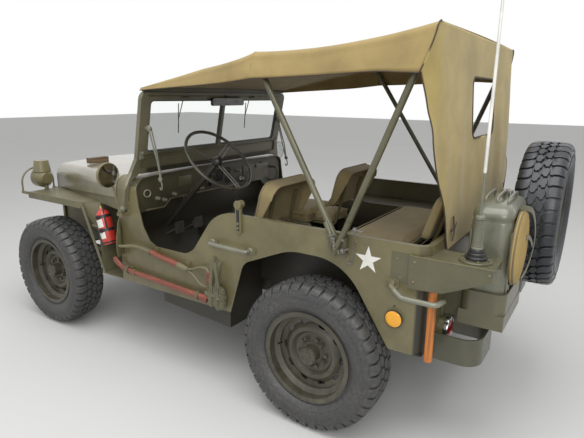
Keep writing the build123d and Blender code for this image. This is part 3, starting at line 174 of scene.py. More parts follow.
class NodeSheet:
    """Small builder for the node tree of one material."""

    def __init__(self, name: str) -> None:
        """Start a material with a plain shader and object coordinates.

        Args:
            name: The material's name.
        """
        self.material = bpy.data.materials.new(name)
        self.material.use_nodes = True
        self.nodes = self.material.node_tree.nodes
        self.links = self.material.node_tree.links
        self.shader = self.nodes["Principled BSDF"]
        self.position = self.nodes.new("ShaderNodeTexCoord").outputs["Object"]

    def put(self, value: object, socket: Socket) -> None:
        """Link a socket, or set a plain value, on an input."""
        if isinstance(value, Socket):
            self.links.new(value, socket)
        else:
            socket.default_value = value

    def feed(self, name: str, value: object) -> None:
        """Link a socket to one of the shader's inputs, or set a plain value on it."""
        self.put(value, self.shader.inputs[name])

    def noise(
        self, scale: float, detail: float = 4.0, roughness: float = 0.5, distortion: float = 0.0,
        vector: Socket | None = None,
    ) -> Socket:
        """Add a noise texture.

        Args:
            scale: Cycles per metre.
            detail: Number of octaves.
            roughness: Strength of the fine octaves.
            distortion: Warp of the pattern.
            vector: Coordinates, or None for the object's own.

        Returns:
            The noise's value socket.
        """
        node = self.nodes.new("ShaderNodeTexNoise")
        self.put(vector or self.position, node.inputs["Vector"])
        values = {"Scale": scale, "Detail": detail, "Roughness": roughness, "Distortion": distortion}
        for name, value in values.items():
            node.inputs[name].default_value = value
        return node.outputs["Fac"]

    def span(
        self, value: object, low: float, high: float, to_low: float = 0.0, to_high: float = 1.0
    ) -> Socket:
        """Map a value from one range to another, clamped.

        Args:
            value: Socket or number to map.
            low: Start of the range that it comes from.
            high: End of the range that it comes from.
            to_low: Start of the range that it goes to.
            to_high: End of the range that it goes to.

        Returns:
            The mapped value's socket.
        """
        node = self.nodes.new("ShaderNodeMapRange")
        for name, number in (
            ("From Min", low), ("From Max", high), ("To Min", to_low), ("To Max", to_high)
        ):
            node.inputs[name].default_value = number
        self.put(value, node.inputs["Value"])
        return node.outputs["Result"]

    def mix(self, factor: object, first: object, second: object) -> Socket:
        """Blend two colours.

        Args:
            factor: Share of the second colour.
            first: Colour or socket.
            second: Colour or socket.

        Returns:
            The blended colour's socket.
        """
        node = self.nodes.new("ShaderNodeMix")
        node.data_type = "RGBA"
        self.put(factor, node.inputs[0])
        for value, socket in ((first, node.inputs[6]), (second, node.inputs[7])):
            self.put((*value, 1.0) if isinstance(value, tuple) else value, socket)
        return node.outputs[2]

    def math(self, operation: str, first: object, second: object = 0.0) -> Socket:
        """Add one calculation and return its socket."""
        node = self.nodes.new("ShaderNodeMath")
        node.operation = operation
        self.put(first, node.inputs[0])
        self.put(second, node.inputs[1])
        return node.outputs["Value"]

    def axis(self, name: str) -> Socket:
        """Return one coordinate, X, Y or Z, of the object's own space."""
        node = self.nodes.new("ShaderNodeSeparateXYZ")
        self.links.new(self.position, node.inputs[0])
        return node.outputs[name]

    def bump(self, height: object, strength: float, distance: float) -> None:
        """Add a relief to the shader, on top of the one that it has."""
        node = self.nodes.new("ShaderNodeBump")
        node.inputs["Strength"].default_value = strength
        node.inputs["Distance"].default_value = distance
        self.put(height, node.inputs["Height"])
        normal = self.shader.inputs["Normal"]
        if normal.is_linked:
            self.links.new(normal.links[0].from_socket, node.inputs["Normal"])
        self.links.new(node.outputs["Normal"], normal)


@dataclass(frozen=True)
class Finish:
    """A finish with a base colour and a roughness."""

    name: str
    colour: Colour
    roughness: float = 0.5

    def material(self) -> bpy.types.Material:
        """Return the finish's material, made on first use."""
        return bpy.data.materials.get(self.name) or self.build().material

    def build(self) -> NodeSheet:
        """Make the material's nodes.

        Returns:
            The finished sheet of nodes.
        """
        sheet = NodeSheet(self.name)
        tone = sheet.noise(9.0, 5.0)
        dark = shaded(self.colour, 0.75)
        sheet.feed("Base Color", sheet.mix(sheet.span(tone, 0.35, 0.65), dark, self.colour))
        sheet.feed("Roughness", sheet.span(tone, 0.3, 0.7, self.roughness * 0.85, self.roughness * 1.1))
        return sheet


@dataclass(frozen=True)
class PaintFinish(Finish):
    """Matt sprayed paint with mottling, faded patches and dust low down."""

    dust: Colour = (0.3, 0.27, 0.2)
    dust_top: float = 0.75
    dust_amount: float = 0.35
    metallic: float = 0.0
    coat: float = 0.45
    coat_roughness: float = 0.22

    def build(self) -> NodeSheet:
        """Make the paint's nodes.

        Returns:
            The finished sheet of nodes.
        """
        sheet = NodeSheet(self.name)
        cloud = sheet.noise(3.2, 5.0, 0.55, 0.4)
        mottle = sheet.noise(38.0, 6.0, 0.6)
        faded = tuple(min(1.0, c * 1.22 + 0.006) for c in self.colour)
        dark = shaded(self.colour, 0.78)
        base = sheet.mix(sheet.span(cloud, 0.36, 0.66), dark, faded)
        base = sheet.mix(sheet.span(mottle, 0.42, 0.75, 0.0, 0.35), base, faded)
        height = sheet.span(sheet.axis("Z"), 0.0, self.dust_top, 1.0, 0.0)
        splash = sheet.math("MULTIPLY", height, sheet.span(sheet.noise(14.0, 8.0, 0.65), 0.38, 0.7))
        base = sheet.mix(sheet.math("MULTIPLY", splash, self.dust_amount), base, self.dust)
        sheet.feed("Base Color", base)
        rough = sheet.span(mottle, 0.3, 0.75, self.roughness - 0.06, self.roughness + 0.1)
        sheet.feed("Roughness", rough)
        sheet.feed("Metallic", self.metallic)
        sheet.feed("Coat Weight", self.coat)
        sheet.feed("Coat Roughness", self.coat_roughness)
        sheet.bump(sheet.noise(420.0, 3.0), 0.12, 0.0006)
        sheet.bump(sheet.noise(6.0, 2.0), 0.1, 0.004)
        return sheet


@dataclass(frozen=True)
class TubFinish(PaintFinish):
    """Body paint with painted shade inside the tub, deepest low down."""

    # Colour of the painted shade on the tub's inner faces
    painted_shade: Colour = (0.016, 0.015, 0.011)
    half: float = BODY_HALF
    rear: float = 1.324
    # Depths under the outer face at which the painted shade is full and gone
    inner: float = 0.0045
    outer: float = 0.001

    def shade(self, sheet: NodeSheet, factor: object) -> None:
        """Blend the painted shade over the paint and dull its coat.

        Args:
            sheet: Nodes of the finish.
            factor: Share of the painted shade.
        """
        paint = sheet.shader.inputs["Base Color"].links[0].from_socket
        sheet.feed("Base Color", sheet.mix(factor, paint, self.painted_shade))
        sheet.feed("Coat Weight", sheet.math("MULTIPLY", sheet.math("SUBTRACT", 1.0, factor), self.coat))

    def build(self) -> NodeSheet:
        """Make the paint's nodes with painted shade inside the tub.

        Returns:
            The finished sheet of nodes.
        """
        sheet = super().build()
        across = sheet.math("ABSOLUTE", sheet.axis("X"))
        sides = sheet.span(across, self.half - self.inner, self.half - self.outer, 1.0, 0.0)
        panel = sheet.span(sheet.axis("Y"), self.rear - self.inner, self.rear - self.outer, 1.0, 0.0)
        low = sheet.span(sheet.axis("Z"), 0.72, 1.04, 0.93, 0.0)
        self.shade(sheet, sheet.math("MULTIPLY", sheet.math("MULTIPLY", sides, panel), low))
        return sheet


@dataclass(frozen=True)
class CowlFinish(TubFinish):
    """Body paint that also has painted shade on the dash behind the windshield."""

    dash: float = -0.434

    def build(self) -> NodeSheet:
        """Make the paint's nodes with painted shade on the dash.

        Returns:
            The finished sheet of nodes.
        """
        sheet = super().build()
        # Painted shade on the dash face behind the windshield
        behind = sheet.span(sheet.axis("Y"), self.dash - 0.004, self.dash + 0.004, 0.0, 0.62)
        across = sheet.math("ABSOLUTE", sheet.axis("X"))
        sides = sheet.span(across, self.half - 0.0065, self.half - self.inner, 1.0, 0.0)
        self.shade(sheet, sheet.math("MULTIPLY", behind, sides))
        return sheet


@dataclass(frozen=True)
class WindshieldFinish(TubFinish):
    """Frame paint with painted shade on the inside of its lower panel."""

    slope: float = 0.20345
    middle: float = -0.6365

    def build(self) -> NodeSheet:
        """Make the paint's nodes with painted shade on the lower panel.

        Returns:
            The finished sheet of nodes.
        """
        sheet = PaintFinish.build(self)
        lean = sheet.math("SUBTRACT", sheet.axis("Y"), sheet.math("MULTIPLY", sheet.axis("Z"), self.slope))
        # Painted shade on the inner face of the lower panel
        inside = sheet.span(lean, self.middle + 0.003, self.middle + 0.007)
        low = sheet.span(sheet.axis("Z"), 1.165, 1.2, 0.8, 0.0)
        sides = sheet.span(sheet.math("ABSOLUTE", sheet.axis("X")), 0.6, 0.625, 1.0, 0.0)
        self.shade(sheet, sheet.math("MULTIPLY", sheet.math("MULTIPLY", inside, low), sides))
        return sheet


@dataclass(frozen=True)
class ClothFinish(Finish):
    """Woven canvas with thread relief, faded folds and a soft sheen."""

    thread: float = 900.0
    fade: float = 1.2
    sheen: float = 0.15
    specular: float = 0.5

    def build(self) -> NodeSheet:
        """Make the cloth's nodes.

        Returns:
            The finished sheet of nodes.
        """
        sheet = NodeSheet(self.name)
        cloud = sheet.noise(4.5, 6.0, 0.6, 0.3)
        grain = sheet.noise(160.0, 4.0, 0.7)
        pale = shaded(self.colour, self.fade)
        dark = shaded(self.colour, 0.82)
        base = sheet.mix(sheet.span(cloud, 0.32, 0.68), dark, pale)
        base = sheet.mix(sheet.span(grain, 0.3, 0.8, 0.0, 0.25), base, dark)
        sheet.feed("Base Color", base)
        sheet.feed("Roughness", self.roughness)
        sheet.feed("Sheen Weight", self.sheen)
        sheet.feed("Specular IOR Level", self.specular)
        waves = []
        for direction in ("X", "Z"):
            wave = sheet.nodes.new("ShaderNodeTexWave")
            wave.bands_direction = direction
            wave.inputs["Scale"].default_value = self.thread / 20.0
            wave.inputs["Distortion"].default_value = 0.6
            sheet.links.new(sheet.position, wave.inputs["Vector"])
            waves.append(wave.outputs["Fac"])
        weave = sheet.math("MULTIPLY", waves[0], waves[1])
        sheet.bump(weave, 0.25, 0.0006)
        sheet.bump(sheet.noise(22.0, 4.0, 0.6), 0.2, 0.004)
        return sheet


@dataclass(frozen=True)
class RubberFinish(Finish):
    """Worn rubber with dust in its grain."""

    dust: Colour = (0.16, 0.145, 0.115)

    def build(self) -> NodeSheet:
        """Make the rubber's nodes.

        Returns:
            The finished sheet of nodes.
        """
        sheet = NodeSheet(self.name)
        grain = sheet.noise(60.0, 8.0, 0.7)
        patch = sheet.noise(7.0, 4.0, 0.5)
        fine = sheet.span(grain, 0.42, 0.75)
        amount = sheet.math("MULTIPLY", fine, sheet.span(patch, 0.3, 0.75, 0.15, 0.8))
        sheet.feed("Base Color", sheet.mix(amount, self.colour, self.dust))
        sheet.feed("Roughness", sheet.span(grain, 0.3, 0.8, self.roughness - 0.1, self.roughness + 0.15))
        sheet.bump(sheet.noise(500.0, 3.0), 0.2, 0.0008)
        return sheet


@dataclass(frozen=True)
class WoodFinish(Finish):
    """Planed wood with a grain along one axis."""

    grain_axis: int = 1

    def build(self) -> NodeSheet:
        """Make the wood's nodes.

        Returns:
            The finished sheet of nodes.
        """
        sheet = NodeSheet(self.name)
        mapping = sheet.nodes.new("ShaderNodeMapping")
        stretch = [60.0, 60.0, 60.0]
        stretch[self.grain_axis] = 4.0
        mapping.inputs["Scale"].default_value = stretch
        sheet.links.new(sheet.position, mapping.inputs["Vector"])
        grain = sheet.noise(1.0, 7.0, 0.6, 0.6, mapping.outputs["Vector"])
        pale = shaded(self.colour, 1.35)
        dark = shaded(self.colour, 0.55)
        sheet.feed("Base Color", sheet.mix(sheet.span(grain, 0.35, 0.68), dark, pale))
        sheet.feed("Roughness", sheet.span(grain, 0.3, 0.7, self.roughness, self.roughness + 0.15))
        sheet.bump(grain, 0.25, 0.001)
        return sheet


@dataclass(frozen=True)
class LensFinish(Finish):
    """Moulded lens with fine prisms under a glossy skin."""

    prism: float = 170.0

    def build(self) -> NodeSheet:
        """Make the lens's nodes.

        Returns:
            The finished sheet of nodes.
        """
        sheet = NodeSheet(self.name)
        cells = sheet.nodes.new("ShaderNodeTexVoronoi")
        cells.inputs["Scale"].default_value = self.prism
        sheet.links.new(sheet.position, cells.inputs["Vector"])
        distance = cells.outputs["Distance"]
        dark = shaded(self.colour, 0.8)
        sheet.feed("Base Color", sheet.mix(sheet.span(distance, 0.1, 0.7), self.colour, dark))
        sheet.feed("Roughness", self.roughness)
        sheet.feed("Coat Weight", 0.8)
        sheet.bump(distance, 0.15, 0.0004)
        return sheet


@dataclass(frozen=True)
class MetalFinish(Finish):
    """Bare or plated metal with smears."""

    def build(self) -> NodeSheet:
        """Make the metal's nodes.

        Returns:
            The finished sheet of nodes.
        """
        sheet = NodeSheet(self.name)
        smear = sheet.noise(30.0, 5.0, 0.6)
        dark = shaded(self.colour, 0.7)
        sheet.feed("Base Color", sheet.mix(sheet.span(smear, 0.35, 0.7), self.colour, dark))
        sheet.feed("Roughness", sheet.span(smear, 0.3, 0.75, self.roughness, self.roughness + 0.12))
        sheet.feed("Metallic", 1.0)
        return sheet


@dataclass(frozen=True)
class GlassFinish(Finish):
    """Clear pane with a little tint and dust."""

    def build(self) -> NodeSheet:
        """Make the glass's nodes.

        Returns:
            The finished sheet of nodes.
        """
        sheet = NodeSheet(self.name)
        sheet.feed("Base Color", (*self.colour, 1.0))
        sheet.feed("Transmission Weight", 1.0)
        sheet.feed("IOR", 1.1)
        haze = sheet.noise(12.0, 6.0, 0.6)
        sheet.feed("Roughness", sheet.span(haze, 0.4, 0.8, self.roughness, self.roughness + 0.06))
        return sheet


OLIVE = PaintFinish("olive_paint", (0.134, 0.117, 0.053), 0.42, coat=0.3)
# Tub, cowl and windshield paints carry painted shade on their inner faces
TUB_PAINT = TubFinish("tub_paint", (0.136, 0.118, 0.053), 0.42, coat=0.3)
COWL_PAINT = CowlFinish("cowl_paint", (0.134, 0.117, 0.053), 0.42, coat=0.3)
HOOD_PAINT = PaintFinish("hood_paint", (0.14, 0.125, 0.064), 0.34, coat=1.0)
FENDER_PAINT = PaintFinish("fender_paint", (0.12, 0.108, 0.058), 0.5, coat=0.1)
PANEL_PAINT = WindshieldFinish("windshield_paint", (0.132, 0.12, 0.072), 0.42)
DEEP_OLIVE = PaintFinish("deep_olive", (0.086, 0.079, 0.041), 0.42, dust_amount=0.12, coat=0.3)
BUMPER_PAINT = PaintFinish("bumper_paint", (0.062, 0.061, 0.035), 0.42, dust_amount=0.12, coat=0.3)
COLUMN_PAINT = PaintFinish("column_paint", (0.03, 0.028, 0.02), 0.5, dust_amount=0.1)
WHEEL_PAINT = PaintFinish("wheel_paint", (0.04, 0.037, 0.022), 0.5, dust_amount=0.28, coat=0.2)
CAN_PAINT = PaintFinish("can_paint", (0.112, 0.114, 0.076), 0.32, dust_amount=0.1, coat=0.7)
SPRING_PAINT = PaintFinish("spring_paint", (0.165, 0.165, 0.12), 0.4)
WHITE_PAINT = PaintFinish("white_paint", (0.72, 0.71, 0.66), 0.45, dust_amount=0.1)
FRAME_PAINT = PaintFinish("chassis_paint", (0.05, 0.048, 0.032), 0.6, dust_amount=0.6, dust_top=1.0)
RED_PAINT = PaintFinish("bright_red_paint", (0.5, 0.035, 0.022), 0.3, dust_amount=0.1)
CANVAS = ClothFinish("olive_canvas", (0.355, 0.27, 0.092), 0.85)
ROOF_CANVAS = ClothFinish("roof_canvas", (0.29, 0.212, 0.08), 0.85)
SEAT_CANVAS = ClothFinish("seat_canvas", (0.3, 0.235, 0.112), 0.85)
SEAT_PIPING = ClothFinish("seat_piping", (0.3, 0.24, 0.13), 0.85)
BINDING = ClothFinish("brown_binding", (0.052, 0.035, 0.02), 0.8, sheen=0.05)
TAN_CANVAS = ClothFinish("bucket_canvas", (0.36, 0.255, 0.1), 0.9, sheen=0.0, specular=0.15)
WEBBING = ClothFinish("tan_webbing", (0.15, 0.12, 0.062), 0.85)
OLIVE_WEB = ClothFinish("olive_webbing", (0.105, 0.098, 0.052), 0.85)
# Tyre rubber is paler than bare black rubber: part of the sky's sheen on the tyres is painted into its
# colour
RUBBER = RubberFinish("tyre_rubber", (0.042, 0.043, 0.045), 0.52)
SPARE_RUBBER = RubberFinish("spare_rubber", (0.02, 0.022, 0.026), 0.36, dust=(0.062, 0.062, 0.066))
BLACK_PLASTIC = Finish("moulded_plastic", (0.02, 0.02, 0.02), 0.35)
WHEEL_PLASTIC = Finish("steering_plastic", (0.07, 0.065, 0.048), 0.28)
DIAL = Finish("gauge_dial", (0.012, 0.012, 0.012), 0.25)
AMBER_LENS = LensFinish("amber_lens", (0.9, 0.4, 0.006), 0.22, prism=520.0)
RED_LENS = LensFinish("red_lens", (0.28, 0.012, 0.014), 0.18)
LAMP_GLASS = LensFinish("lamp_glass", (0.55, 0.56, 0.55), 0.1, prism=60.0)
CHROME = MetalFinish("chrome", (0.62, 0.62, 0.62), 0.12)
CHROME_DARK = MetalFinish("dull_buckle", (0.3, 0.28, 0.22), 0.35)
BRASS = MetalFinish("brass", (0.5, 0.36, 0.14), 0.3)
MIRROR = MetalFinish("mirror_silver", (0.82, 0.84, 0.85), 0.02)
# Dark metal for the inner mirror: its colour is a painted reflection of the dark interior
DARK_REFLECTION_MIRROR = MetalFinish("painted_reflection_mirror", (0.1, 0.1, 0.095), 0.05)
STEEL = PaintFinish("worn_steel", (0.2, 0.19, 0.17), 0.4, metallic=0.8)
CAST = PaintFinish("rough_casting", (0.075, 0.072, 0.062), 0.65, metallic=0.3)
WOOD = WoodFinish("grey_wood", (0.135, 0.088, 0.05), 0.6, grain_axis=0)
AXE_WOOD = WoodFinish("red_wood", (0.205, 0.058, 0.035), 0.26)
HANDLE_WOOD = WoodFinish("brown_wood", (0.46, 0.155, 0.033), 0.5, grain_axis=2)
GLASS = GlassFinish("pane_glass", (0.93, 0.96, 0.94), 0.0)

# Nodes of each finish; what isn't named here is plain olive
NODE_GROUPS: tuple[tuple[Finish, tuple[str, ...]], ...] = (
    (TUB_PAINT, ("body_tub",)), (COWL_PAINT, ("cowl",)), (HOOD_PAINT, ("hood",)),
    (FENDER_PAINT, ("front_fenders",)), (PANEL_PAINT, ("windshield_frame",)),
    (DEEP_OLIVE, ("top_bows", "antenna_shelf", "can_carrier", "spare_bracket")),
    (BUMPER_PAINT, ("rear_bumper",)), (COLUMN_PAINT, ("steering_column",)),
    (
        FRAME_PAINT,
        (
            "chassis_frame", "front_axle", "rear_axle", "knuckle_left", "knuckle_right", "tie_rod",
            "drive_shafts",
        ),
    ),
    (STEEL, ("leaf_springs", "exhaust", "driving_controls")), (CAST, ("engine", "gearbox")),
    (GLASS, ("windshield_glass",)), (ROOF_CANVAS, ("canvas_top",)),
    (CANVAS, ("rear_curtain", "seat_cushions")), (TAN_CANVAS, ("canvas_bucket",)),
    (BLACK_PLASTIC, ("steering_wheel", "antenna")), (RED_PAINT, ("extinguisher",)),
    (WOOD, ("hood_blocks",)), (AXE_WOOD, ("axe",)), (HANDLE_WOOD, ("wooden_handle",)),
    (
        WHEEL_PAINT,
        ("wheel_front_left", "wheel_front_right", "wheel_rear_left", "wheel_rear_right", "spare_wheel"),
    ),
    (RUBBER, ("tyre_front_left", "tyre_front_right", "tyre_rear_left", "tyre_rear_right")),
    (SPARE_RUBBER, ("spare_tyre",)),
)
NODE_FINISHES = {name: finish for finish, names in NODE_GROUPS for name in names}


def smooth_rows(rows: Sequence[Sequence[float]], steps: int) -> list[tuple[float, ...]]:
    """Draw a smooth curve through a few rows of numbers.

    Args:
        rows: Control rows that the curve passes through.
        steps: Points per stretch between two rows.

    Returns:
        The curve's rows, ends included.
    """
    padded_rows = [rows[0], *rows, rows[-1]]
    curve = []
    for index in range(1, len(padded_rows) - 2):
        before, start, end, after = padded_rows[index - 1 : index + 3]
        for step in range(steps):
            t = step / steps
            curve.append(
                tuple(
                    0.5 * (
                        2 * b
                        + (c - a) * t
                        + (2 * a - 5 * b + 4 * c - d) * t**2
                        + (3 * b - a - 3 * c + d) * t**3
                    )
                    for a, b, c, d in zip(before, start, end, after)
                )
            )
    curve.append(tuple(rows[-1]))
    return curve


# Radius that a lathe's tip keeps, in metres, and where a strap's edge starts to thin
SMALLEST_RADIUS = 1e-5
STRAP_EDGE = 0.93
# How far the foot of a rivet, screw or bolt is sunk, in metres
SUNK_FOOT = -0.0006


class Shape:
    """Mesh under construction, which becomes one piece."""

    def __init__(self) -> None:
        """Start with an empty mesh."""
        self.mesh = bmesh.new()

    def grid(
        self, rows: Sequence[Sequence[Vector]], closed_rows: bool = False, closed_columns: bool = False
    ) -> list[list[bmesh.types.BMVert]]:
        """Skin rows of points with quads.

        Args:
            rows: Rows of equal length.
            closed_rows: Join the last row to the first.
            closed_columns: Join each row's last point to its first.

        Returns:
            The vertices, in rows.
        """
        verts = [[self.mesh.verts.new(point) for point in row] for row in rows]
        row_pairs = zip(verts, verts[1:] + verts[:1]) if closed_rows else zip(verts, verts[1:])
        for row, following in row_pairs:
            count = len(row)
            for index in range(count if closed_columns else count - 1):
                after = (index + 1) % count
                self.mesh.faces.new((row[index], row[after], following[after], following[index]))
        return verts

    def loft(self, rings: Sequence[Sequence[Vector]]) -> None:
        """Skin closed rings of points and cap both ends."""
        verts = self.grid(rings, closed_columns=True)
        self.mesh.faces.new(verts[0][::-1])
        self.mesh.faces.new(verts[-1])

    def skin(self, rings: Sequence[Sequence[Vector]], closed: bool) -> None:
        """Skin closed rings, and either join the last to the first or cap both ends."""
        if closed:
            self.grid(rings, closed_rows=True, closed_columns=True)
        else:
            self.loft(rings)

    def tube(
        self, path: Sequence[Vector], radius: float | Sequence[float], sides: int = 10, closed: bool = False
    ) -> None:
        """Sweep a circle along a path.

        Args:
            path: Points of the path.
            radius: Radius of the circle, or one for each point.
            sides: Sides of the circle.
            closed: Join the end to the start.
        """
        count = len(path)
        radii = [radius] * count if isinstance(radius, float) else list(radius)
        runs = []
        for index in range(count):
            ahead = path[(index + 1) % count] if closed or index < count - 1 else path[index]
            behind = path[index - 1] if closed or index > 0 else path[index]
            runs.append((ahead - behind).normalized())
        across = runs[0].orthogonal().normalized()
        rings = []
        for point, run, size in zip(path, runs, radii):
            across = (across - run * across.dot(run)).normalized()
            up = run.cross(across)
            spokes = [math.cos(turn) * across + math.sin(turn) * up for turn in full_turn(sides)]
            rings.append([point + size * spoke for spoke in spokes])
        self.skin(rings, closed)

    def lathe(
        self, profile: Sequence[Pair], origin: Vector, axis: Vector, sides: int = 32, closed: bool = False
    ) -> None:
        """Turn a profile about an axis.

        Args:
            profile: Distances along the axis, with radii.
            origin: Point on the axis.
            axis: Direction of the axis.
            sides: Steps round the axis.
            closed: Join the profile's end to its start, for a ring.
        """
        axis = axis.normalized()
        first = axis.orthogonal().normalized()
        second = axis.cross(first)
        spokes = [math.cos(turn) * first + math.sin(turn) * second for turn in full_turn(sides)]
        rings = []
        for along, radius in profile:
            centre = origin + axis * along
            rings.append([centre + max(radius, SMALLEST_RADIUS) * spoke for spoke in spokes])
        self.skin(rings, closed)

    def slab(self, outline: Sequence[Vector], thickness: Vector) -> None:
        """Extrude a flat outline by a direction and length."""
        self.loft([outline, [point + thickness for point in outline]])

    def box(self, centre: Vector, size: Point, bevel: float, turn: Matrix | None = None) -> None:
        """Add a block with softened edges.

        Args:
            centre: Middle of the block.
            size: Lengths along its own axes.
            bevel: Width of the softened edges.
            turn: Rotation of the block, or None.
        """
        found = bmesh.ops.create_cube(self.mesh, size=1.0)["verts"]
        rotation = turn.to_4x4() if turn else Matrix.Identity(4)
        matrix = Matrix.Translation(centre) @ rotation @ Matrix.Diagonal((*size, 1.0))
        bmesh.ops.transform(self.mesh, matrix=matrix, verts=found)
        edges = list({edge for vert in found for edge in vert.link_edges})
        bmesh.ops.bevel(self.mesh, geom=edges, offset=bevel, segments=2, profile=0.6, affect="EDGES")

    def ring(
        self, centre: Vector, axis: Vector, radius: float, thickness: float, sides: int = 8,
        steps: int = 32, stretch: Vector | None = None,
    ) -> None:
        """Bend a round bar into a ring.

        Args:
            centre: Middle of the ring.
            axis: Direction that the ring faces.
            radius: Radius of the ring's middle line.
            thickness: Radius of the bar.
            sides: Sides of the bar.
            steps: Steps round the ring.
            stretch: Scale of the ring along X, Y and Z, or None.
        """
        axis = axis.normalized()
        first = axis.orthogonal().normalized()
        second = axis.cross(first)
        path = []
        for turn in full_turn(steps):
            offset = radius * (math.cos(turn) * first + math.sin(turn) * second)
            if stretch:
                offset = Vector(a * b for a, b in zip(offset, stretch))
            path.append(centre + offset)
        self.tube(path, thickness, sides, closed=True)

    def dome(self, centre: Vector, axis: Vector, radius: float, height: float) -> None:
        """Add the low round head of a rivet."""
        self.lathe(
            [
                (SUNK_FOOT, radius), (height * 0.35, radius * 0.94), (height * 0.75, radius * 0.66),
                (height, 0.0),
            ],
            centre, axis, 14,
        )

    def screw(self, centre: Vector, axis: Vector, radius: float) -> None:
        """Add a small screw head with a sunk middle."""
        self.lathe(
            [
                (SUNK_FOOT, radius), (radius * 0.35, radius * 0.92), (radius * 0.5, radius * 0.6),
                (radius * 0.3, radius * 0.45), (radius * 0.3, 0.0),
            ],
            centre, axis, 14,
        )

    def bolt(self, centre: Vector, axis: Vector, radius: float) -> None:
        """Add a hexagonal bolt head on a washer."""
        self.lathe(
            [(SUNK_FOOT, radius * 1.45), (radius * 0.25, radius * 1.4), (radius * 0.3, 0.0)], centre, axis,
            16,
        )
        self.lathe(
            [
                (radius * 0.28, radius), (radius * 0.95, radius), (radius * 1.1, radius * 0.8),
                (radius * 1.1, 0.0),
            ],
            centre, axis, 6,
        )

    def strap(
        self, points: Sequence[Sequence[float]], width: float, out: Vector | None = None,
        across: Vector | None = None, thickness: float = 0.0024,
    ) -> None:
        """Lay a flat strap along a smooth line.

        Args:
            points: Places in millimetres that it passes.
            width: Width of the strap.
            out: Direction that a strap on a flat face looks, or None.
            across: Direction of the width of a strap that wraps round something, or None.
            thickness: Thickness of the webbing.
        """
        path = curve(points)
        rings = []
        for index, point in enumerate(path):
            run = (path[min(index + 1, len(path) - 1)] - path[max(index - 1, 0)]).normalized()
            side = (across or run.cross(out)).normalized()
            up = side.cross(run).normalized()
            half, thick = side * width / 2, up * thickness / 2
            near = half * STRAP_EDGE
            rings.append([
                point - half, point - near + thick, point + near + thick, point + half,
                point + near - thick, point - near - thick,
            ])
        self.loft(rings)

    def buckle(self, centre: Vector, out: Vector, along: Vector, length: float, width: float) -> None:
        """Add a wire buckle with its prong.

        Args:
            centre: Middle of the buckle.
            out: Direction that it faces.
            along: Direction of the strap.
            length: Length along the strap.
            width: Width across the strap.
        """
        side = along.cross(out).normalized()
        run = along.normalized()
        corners = []
        for a, b in (
            (1, 0.75), (0.75, 1), (-0.75, 1), (-1, 0.75), (-1, -0.75), (-0.75, -1), (0.75, -1), (1, -0.75)
        ):
            corners.append(centre + run * (a * length / 2) + side * (b * width / 2))
        self.tube(corners, 0.0016, 8, closed=True)
        self.tube([centre - run * length / 2, centre + out * 0.0012, centre + run * length / 2], 0.0013, 6)

    def piece(
        self, name: str, finish: Finish, body: str = "chassis", sharp: float = 35.0, subdivide: int = 0
    ) -> bpy.types.Object:
        """Close the mesh and make it a piece that rides on a body.

        Args:
            name: The piece's name.
            finish: Finish of its faces.
            body: Name of the rigid body that carries it.
            sharp: Edges with a larger angle, in degrees, stay crisp.
            subdivide: Levels of subdivision.

        Returns:
            The new object.
        """
        bmesh.ops.remove_doubles(self.mesh, verts=self.mesh.verts, dist=1e-6)
        bmesh.ops.recalc_face_normals(self.mesh, faces=self.mesh.faces)
        limit = math.radians(sharp)
        for face in self.mesh.faces:
            face.smooth = True
        for edge in self.mesh.edges:
            if len(edge.link_faces) == 2 and edge.calc_face_angle(0.0) > limit:
                edge.smooth = False
        mesh = bpy.data.meshes.new(name)
        self.mesh.to_mesh(mesh)
        self.mesh.free()
        made = bpy.data.objects.new(name, mesh)
        bpy.context.scene.collection.objects.link(made)
        made.data.materials.append(finish.material())
        if subdivide:
            modifier = made.modifiers.new("subdivision", "SUBSURF")
            modifier.levels = modifier.render_levels = subdivide
        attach(made, body)
        LOG.info("built %s", name)
        return made


def bake_modifiers(made: bpy.types.Object) -> None:
    """Apply every modifier of a piece to its mesh."""
    depsgraph = bpy.context.evaluated_depsgraph_get()
    baked = bpy.data.meshes.new_from_object(made.evaluated_get(depsgraph), depsgraph=depsgraph)
    made.modifiers.clear()
    made.data = baked


